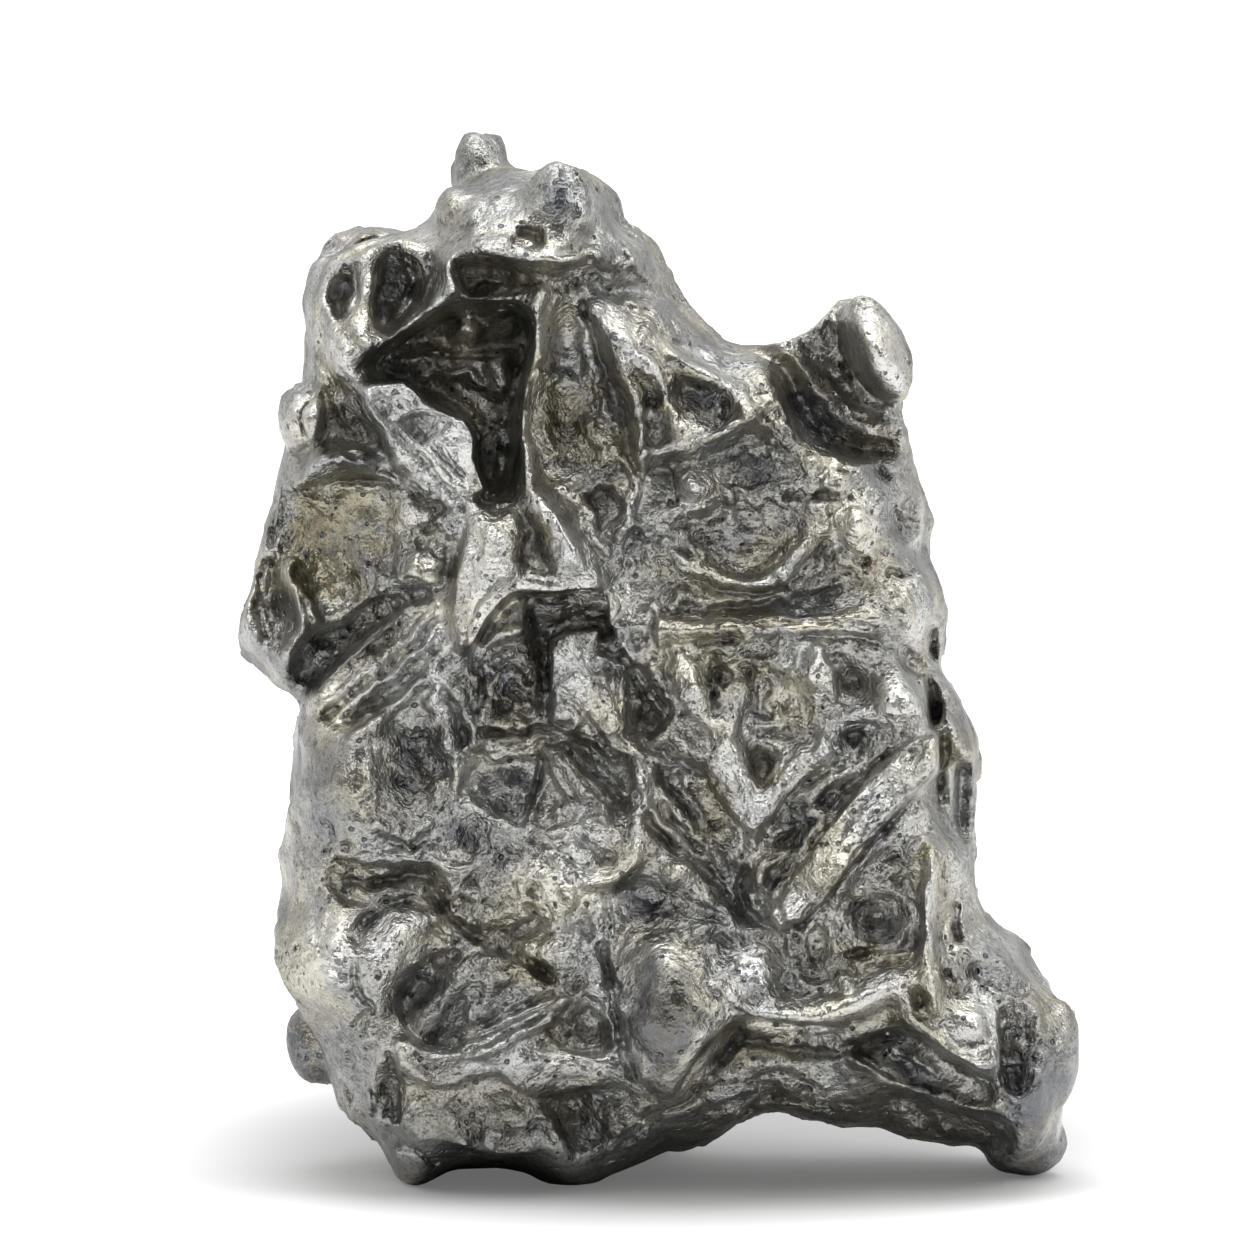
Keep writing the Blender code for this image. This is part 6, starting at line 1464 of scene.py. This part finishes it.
    def bump(self) -> Any:
        """The finest relief: bent cells and wrinkles, stronger where the metal is broken, and pits."""
        nodes, iron = self.nodes, self.iron
        bend = nodes.add("ShaderNodeTexNoise", {
            "Vector": self.place, "Scale": PER_METRE / iron.bend_size, "Detail": 0.0})
        reach = nodes.add("ShaderNodeVectorMath", {
            0: bend.outputs["Color"], "Scale": iron.bend_reach * MM}, operation="SCALE")
        bent = nodes.add("ShaderNodeVectorMath", {0: self.place, 1: reach.outputs[0]}).outputs[0]
        cell = nodes.add("ShaderNodeTexVoronoi", {"Vector": bent, "Scale": PER_METRE / iron.cell_size})
        height = nodes.math("MULTIPLY", cell.outputs["Distance"], -iron.cell_depth)
        for texture, depth in ((self.wrinkle, iron.wrinkle_depth), (self.speckle, iron.speckle_depth),
                               (self.grit, iron.grit_depth)):
            height = nodes.math("ADD", height, nodes.math("MULTIPLY", texture, depth))
        torn = nodes.span(self.mark("broken"), 0.0, 0.9, 0.35, 1.0)
        height = nodes.math("MULTIPLY", height, torn)
        height = nodes.math("SUBTRACT", height, nodes.math("MULTIPLY", self.pits, iron.pit_depth))
        return nodes.add("ShaderNodeBump", {"Strength": 1.0, "Distance": MM, "Height": height}).outputs[0]


@dataclass
class Lump:
    """The meteorite: the solid's own shape, with the front worked and the rest folded.

    The two pitches are in metres, as the modifiers take them. All other lengths are in millimetres.
    """

    first_pitch: float = 0.27 * MM
    pitch: float = 0.155 * MM
    triangles: int = 194000
    wander: float = 0.07
    wander_lengths: tuple[float, float] = (1.5, 0.7)
    wander_seeds: tuple[int, int] = (51, 53)
    least_loose: float = 0.12
    tallest: float = 1.6
    foot: float = 0.3
    least_facing: float = -0.3
    facing_steps: int = 6
    front_turn: tuple[float, float] = (0.02, 0.5)
    front_depth: tuple[float, float] = (-4.5, 2.5)
    side_turn: tuple[float, float] = (0.2, 0.7)
    slack_low: tuple[float, ...] = (0.1, 0.3, 0.0)
    slack_high: tuple[float, ...] = (0.1, 0.1, 0.2)
    facets: tuple[Facets, ...] = (Facets(1.9, 0.34, 0.16, 81), Facets(0.9, 0.36, 0.1, 82))
    leaning: Leaning = field(default_factory=Leaning)

    def forms(self) -> list[Form]:
        """All the forms of the front, from the top down."""
        areas = (crown, ear, cavern, panel, fan, horn, streaks, beam, prow, flutes, flank, middle,
                 thumb, blade, skirt, basin)
        return [form for area in areas for form in area()]

    def added(self, forms: Sequence[Form], u: Array, v: Array) -> Array:
        """What a row of forms adds at each place of the front.

        Args:
            forms: The forms.
            u: Places across the front.
            v: Places up the front.

        Returns:
            The sum of their heights.
        """
        total = np.zeros(u.shape)
        for form in forms:
            low_u, high_u, low_v, high_v = form.reach()
            near = (u > low_u) & (u < high_u) & (v > low_v) & (v < high_v)
            if near.any():
                total[near] += form.height(u[near], v[near])
        return total

    def covered(self, forms: Sequence[Form], u: Array, v: Array) -> Array:
        """How much a row of forms covers each place, from 0 to 1."""
        return np.clip(self.added(forms, u, v), 0.0, 1.0)

    def solid(self) -> bpy.types.Mesh:
        """The solid's mesh with its knobs added, its levels worked and its pitch made fine."""
        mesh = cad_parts[NODE].data.copy()
        bm = bmesh.new()
        bm.from_mesh(mesh)
        bmesh.ops.remove_doubles(bm, verts=bm.verts, dist=WELD)
        for knob in KNOBS:
            knob.add(bm, self.leaning)
        bm.to_mesh(mesh)
        bm.free()
        mesh = remade(mesh, ("REMESH", {"mode": "VOXEL", "voxel_size": self.first_pitch}),
                      ("SMOOTH", {"factor": 0.5, "iterations": 3}))
        skin = Skin(mesh)
        rows = self.leaning.lean(skin.places)
        front = skin.normals @ self.leaning.outward() > self.least_facing
        for face in FACES:
            rows[front, 2] = face.work(*rows[front].T)
        skin.write(self.leaning.stand(rows))
        return remade(mesh, ("REMESH", {"mode": "VOXEL", "voxel_size": self.pitch}),
                      ("SMOOTH", {"factor": 0.5, "iterations": 4}))

    def facing(self, skin: Skin) -> Array:
        """How squarely each corner looks out of the front, evened out over its neighbours."""
        return skin.spread(skin.normals @ self.leaning.outward(), self.facing_steps)

    def front_share(self, facing: Array, w: Array) -> Array:
        """How much of the front's forms each corner takes.

        Args:
            facing: How squarely each corner looks out of the front.
            w: How far out of the front it lies.

        Returns:
            1 on the broad front, 0 on the sides and the back.
        """
        turn, turn_width = self.front_turn
        depth, depth_width = self.front_depth
        return ramp((facing - turn) / turn_width) * ramp((w - depth) / depth_width)

    def wandered(self, flat: Array, column: int) -> Array:
        """One coordinate of the front, moved a little so that no line is quite straight."""
        long, short = self.wander_lengths
        seed = self.wander_seeds[column]
        return (flat[:, column] + self.wander * ripple(flat, long, seed)
                + 0.5 * self.wander * ripple(flat, short, seed + 1))

    def work_front(self, skin: Skin) -> None:
        """Moves the front's corners by its forms, along w."""
        rows = self.leaning.lean(skin.places)
        facing = self.facing(skin)
        share = self.front_share(facing, rows[:, 2])
        flat = rows[:, :2]
        u, v = self.wandered(flat, 0), self.wandered(flat, 1)
        on_foot = ramp(skin.places[:, 2] / MM - self.foot)
        broken = np.clip(0.55 + 0.55 * ripple(flat, 5.0, 71), 0.1, 1.0)
        broken *= 1.0 - 0.85 * self.covered(CALM, u, v)
        facets = sum(kind.height(u, v) for kind in self.facets) * broken
        relief = self.added(self.forms(), u, v) + facets
        relief = skin.spread(self.tallest * np.tanh(relief / self.tallest), 1)
        rows[:, 2] += relief * share * on_foot
        skin.mark("broken", np.where(share > 0.0, broken, 0.5))
        turn, turn_width = self.side_turn
        turned = ramp((turn - facing) / turn_width)
        skin.mark("loose", (self.least_loose + (1.0 - self.least_loose) * turned) * on_foot)
        skin.write(self.leaning.stand(rows))

    def colour(self, skin: Skin) -> None:
        """Keeps where the skin is hollow, crested or stained, and where light and shade are painted on it,
        as attributes for the finish.
        """
        rows = self.leaning.lean(skin.places)
        fine = skin.spread(skin.places, 8)
        broad = skin.spread(fine, 100)
        near = np.einsum("ij,ij->i", skin.places - fine, skin.normals) / MM
        far = np.einsum("ij,ij->i", fine - broad, skin.normals) / MM
        hollow_depth, groove_depth, groove_share = 0.9, 0.12, 0.2
        crest_height, crest_share = 0.1, 0.8
        # The hollow and crest marks carry painted shade in the hollows and painted highlights on the
        # crests, partly patina and rubbed edges.
        hollow = -far / hollow_depth - near / groove_depth * groove_share
        skin.mark("hollow", np.clip(hollow, 0.0, 1.0))
        skin.mark("crest", np.clip(near / crest_height * crest_share, 0.0, 1.0))
        share = self.front_share(self.facing(skin), rows[:, 2])
        flat = rows[:, :2]
        sway_u, sway_v = ripple(flat, 2.0, 61), ripple(flat, 2.0, 62)
        u, v = flat[:, 0] + 0.4 * sway_u, flat[:, 1] + 0.4 * sway_v
        elsewhere = np.clip(ripple(rows, 9.0, 63), 0.0, 1.0) * (1.0 - share)
        # The third list paints shade into the deepest hollows and under overhangs, partly their dark
        # patina.
        for name, stains, patches in (("olive", OLIVE, 0.7), ("rust", RUST, 0.3), ("patina_and_shade", PATINA_AND_SHADE, 0.0)):
            stained = self.added(stains, u, v) * share + patches * elsewhere
            skin.mark(name, np.clip(stained, 0.0, 1.0))
        u, v = u - 0.25 * sway_u, v - 0.25 * sway_v
        # On the front the tone is painted highlight and painted shade; behind it the tone wanders at random
        # and is darker on the knobs behind.
        tone = self.covered(PALE, u, v) - self.covered(SHADE, u, v)
        back = 0.5 * ripple(rows, 3.5, 64) - 0.2 - self.added(BEHIND, *flat.T)
        skin.mark("tone", tone * share + back * (1.0 - share))

    def keep_near(self, skin: Skin) -> None:
        """Holds the skin close to the solid's own box, so that its size is kept."""
        low, high = (np.array(corner) for corner in cad_box)
        skin.write(np.clip(skin.places, low - np.array(self.slack_low) * MM,
                           high + np.array(self.slack_high) * MM))

    def build(self, metal: bpy.types.Material) -> None:
        """Makes the finished piece and puts it on the frame.

        Args:
            metal: Its material.
        """
        mesh = self.solid()
        log.info("solid made even: %d corners", len(mesh.vertices))
        self.work_front(Skin(mesh))
        mesh = Crumple().apply(mesh, metal)
        skin = Skin(mesh)
        self.keep_near(skin)
        self.colour(skin)
        faces = sum(len(polygon.vertices) - 2 for polygon in mesh.polygons)
        mesh = remade(mesh, ("DECIMATE", {"ratio": min(1.0, self.triangles / faces)}))
        mesh.attributes.remove(mesh.attributes["loose"])
        mesh.shade_smooth()
        mesh.name = "meteorite_skin"
        piece = bpy.data.objects.new("meteorite_skin", mesh)
        bpy.context.scene.collection.objects.link(piece)
        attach(piece, "root")
        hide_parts(NODE)
        mesh.calc_loop_triangles()
        log.info("meteorite: %d triangles", len(mesh.loop_triangles))


@dataclass
class Studio:
    """A pale floor with a painted shadow under the lump, a soft tent of light with a darker camera side,
    and the camera.

    The middle of the view is in the leaning frame, in millimetres. Other lengths are in metres.
    """

    middle: tuple[float, float, float] = (-1.5, 28.05, -1.0)
    width: float = 62.8 * MM
    distance: float = 2.0
    floor_size: float = 4.0
    floor_glow: float = 0.35
    card: float = 0.96
    # A painted shadow: the card is greyer in a patch under the lump and glows a little to the camera there.
    painted_shadow_grey: float = 0.42
    painted_shadow_glow: float = 0.36
    painted_shadow_middle: tuple[float, ...] = (0.0, -0.012, 0.0)
    painted_shadow_stretch: tuple[float, ...] = (1.0, 0.8, 1.0)
    painted_shadow_edge: tuple[float, float] = (0.013, 0.029)
    white_edge: tuple[float, float] = (0.05, 0.13)
    tent: float = 0.7
    zenith: float = 1.3
    camera_side: float = 0.09
    target: tuple[float, float, float] = (0.0, 0.0, 0.025)

    def pale_card(self) -> bpy.types.Material:
        """The floor's material: a painted shadow, grey under the lump and glowing faintly to the camera
        there, and white to the camera further away.
        """
        material = bpy.data.materials.new("pale card")
        material.use_nodes = True
        tree = material.node_tree
        shader = tree.nodes["Principled BSDF"]
        shader.inputs["Roughness"].default_value = 0.9
        shader.inputs["Specular IOR Level"].default_value = 0.0
        shader.inputs["Emission Strength"].default_value = self.floor_glow
        nodes = Nodes(tree)
        seen = nodes.add("ShaderNodeLightPath").outputs["Is Camera Ray"]
        place = nodes.add("ShaderNodeTexCoord").outputs["Object"]
        away = nodes.add("ShaderNodeVectorMath", {0: place}, operation="LENGTH").outputs["Value"]
        # The painted shadow: the card is grey in a soft patch under the lump.
        under = nodes.add("ShaderNodeVectorMath", {0: place, 1: self.painted_shadow_middle})
        under = nodes.add("ShaderNodeVectorMath", {0: under.outputs[0], 1: self.painted_shadow_stretch},
                          operation="MULTIPLY")
        near = nodes.add("ShaderNodeVectorMath", {0: under.outputs[0]}, operation="LENGTH")
        edge = nodes.span(near.outputs["Value"], *self.painted_shadow_edge)
        tree.links.new(nodes.mix(edge, grey(self.painted_shadow_grey), grey(self.card)), shader.inputs["Base Color"])
        far = nodes.math("MULTIPLY", seen, nodes.span(away, *self.white_edge))
        # The painted shadow glows a little to the camera; further off the floor glows white to it.
        glow = nodes.mix(far, nodes.mix(seen, grey(0.0), grey(self.painted_shadow_glow)), grey(1.0))
        tree.links.new(glow, shader.inputs["Emission Color"])
        return material

    def floor(self) -> None:
        """Makes the floor."""
        bm = bmesh.new()
        bmesh.ops.create_grid(bm, x_segments=1, y_segments=1, size=self.floor_size / 2.0)
        mesh = bpy.data.meshes.new("floor")
        bm.to_mesh(mesh)
        bm.free()
        mesh.materials.append(self.pale_card())
        floor = bpy.data.objects.new("floor", mesh)
        bpy.context.scene.collection.objects.link(floor)

    def world(self) -> None:
        """Lights the scene from all round, less from the camera's side."""
        world = bpy.data.worlds.new("tent")
        bpy.context.scene.world = world
        world.use_nodes = True
        tree = world.node_tree
        nodes = Nodes(tree)
        way = nodes.add("ShaderNodeTexCoord").outputs["Generated"]
        ahead = (0.0, -math.cos(LEAN), math.sin(LEAN))
        dot = nodes.add("ShaderNodeVectorMath", {0: way, 1: ahead}, operation="DOT_PRODUCT")
        dark = nodes.span(dot.outputs["Value"], -0.1, 0.8, 1.0, self.camera_side)
        seen = nodes.add("ShaderNodeLightPath").outputs["Is Camera Ray"]
        up = nodes.add("ShaderNodeSeparateXYZ", {0: way}).outputs["Z"]
        level = nodes.math("MULTIPLY", dark, nodes.span(up, 0.2, 0.9, self.tent, self.zenith))
        level = nodes.math("MAXIMUM", level, seen)
        ground = tree.nodes["Background"]
        ground.inputs["Color"].default_value = grey(1.0)
        tree.links.new(level, ground.inputs["Strength"])

    def lamp(self, name: str, spot: tuple[float, float, float], size: float, watts: float) -> None:
        """Adds one square soft light that points at the lump."""
        light = bpy.data.lights.new(name, "AREA")
        light.size = size
        light.energy = watts
        holder = bpy.data.objects.new(name, light)
        holder.location = spot
        aim = Vector(self.target) - Vector(spot)
        holder.rotation_euler = aim.to_track_quat("-Z", "Y").to_euler()
        bpy.context.scene.collection.objects.link(holder)

    def lights(self) -> None:
        """Adds the soft boxes above and at both sides."""
        self.lamp("top box", (0.02, 0.0, 0.42), 0.34, 0.85)
        self.lamp("left box", (-0.24, -0.24, 0.32), 0.2, 0.36)
        self.lamp("right box", (0.3, -0.16, 0.22), 0.14, 0.26)

    def camera(self) -> None:
        """Makes the camera, square to the leaning front."""
        lean = Leaning()
        spot = lean.stand(np.array([self.middle]))[0]
        back = Vector(lean.outward())
        data = bpy.data.cameras.new("camera")
        data.lens = data.sensor_width * self.distance / self.width
        data.clip_end = 20.0
        camera = bpy.data.objects.new("camera", data)
        camera.location = Vector(spot) + back * self.distance
        camera.rotation_euler = (-back).to_track_quat("-Z", "Y").to_euler()
        bpy.context.scene.collection.objects.link(camera)
        bpy.context.scene.camera = camera

    def build(self) -> None:
        """Sets up the floor, the light and the camera."""
        self.floor()
        self.world()
        self.lights()
        self.camera()
        bpy.context.scene.view_settings.view_transform = "Standard"
        log.info("studio ready")


def main() -> None:
    """Builds the meteorite and the studio round it."""
    logging.basicConfig(level=logging.INFO, format="%(name)s: %(message)s")
    metal = MeteoricIron().material()
    Lump().build(metal)
    Studio().build()


if __name__ == "__main__":
    main()
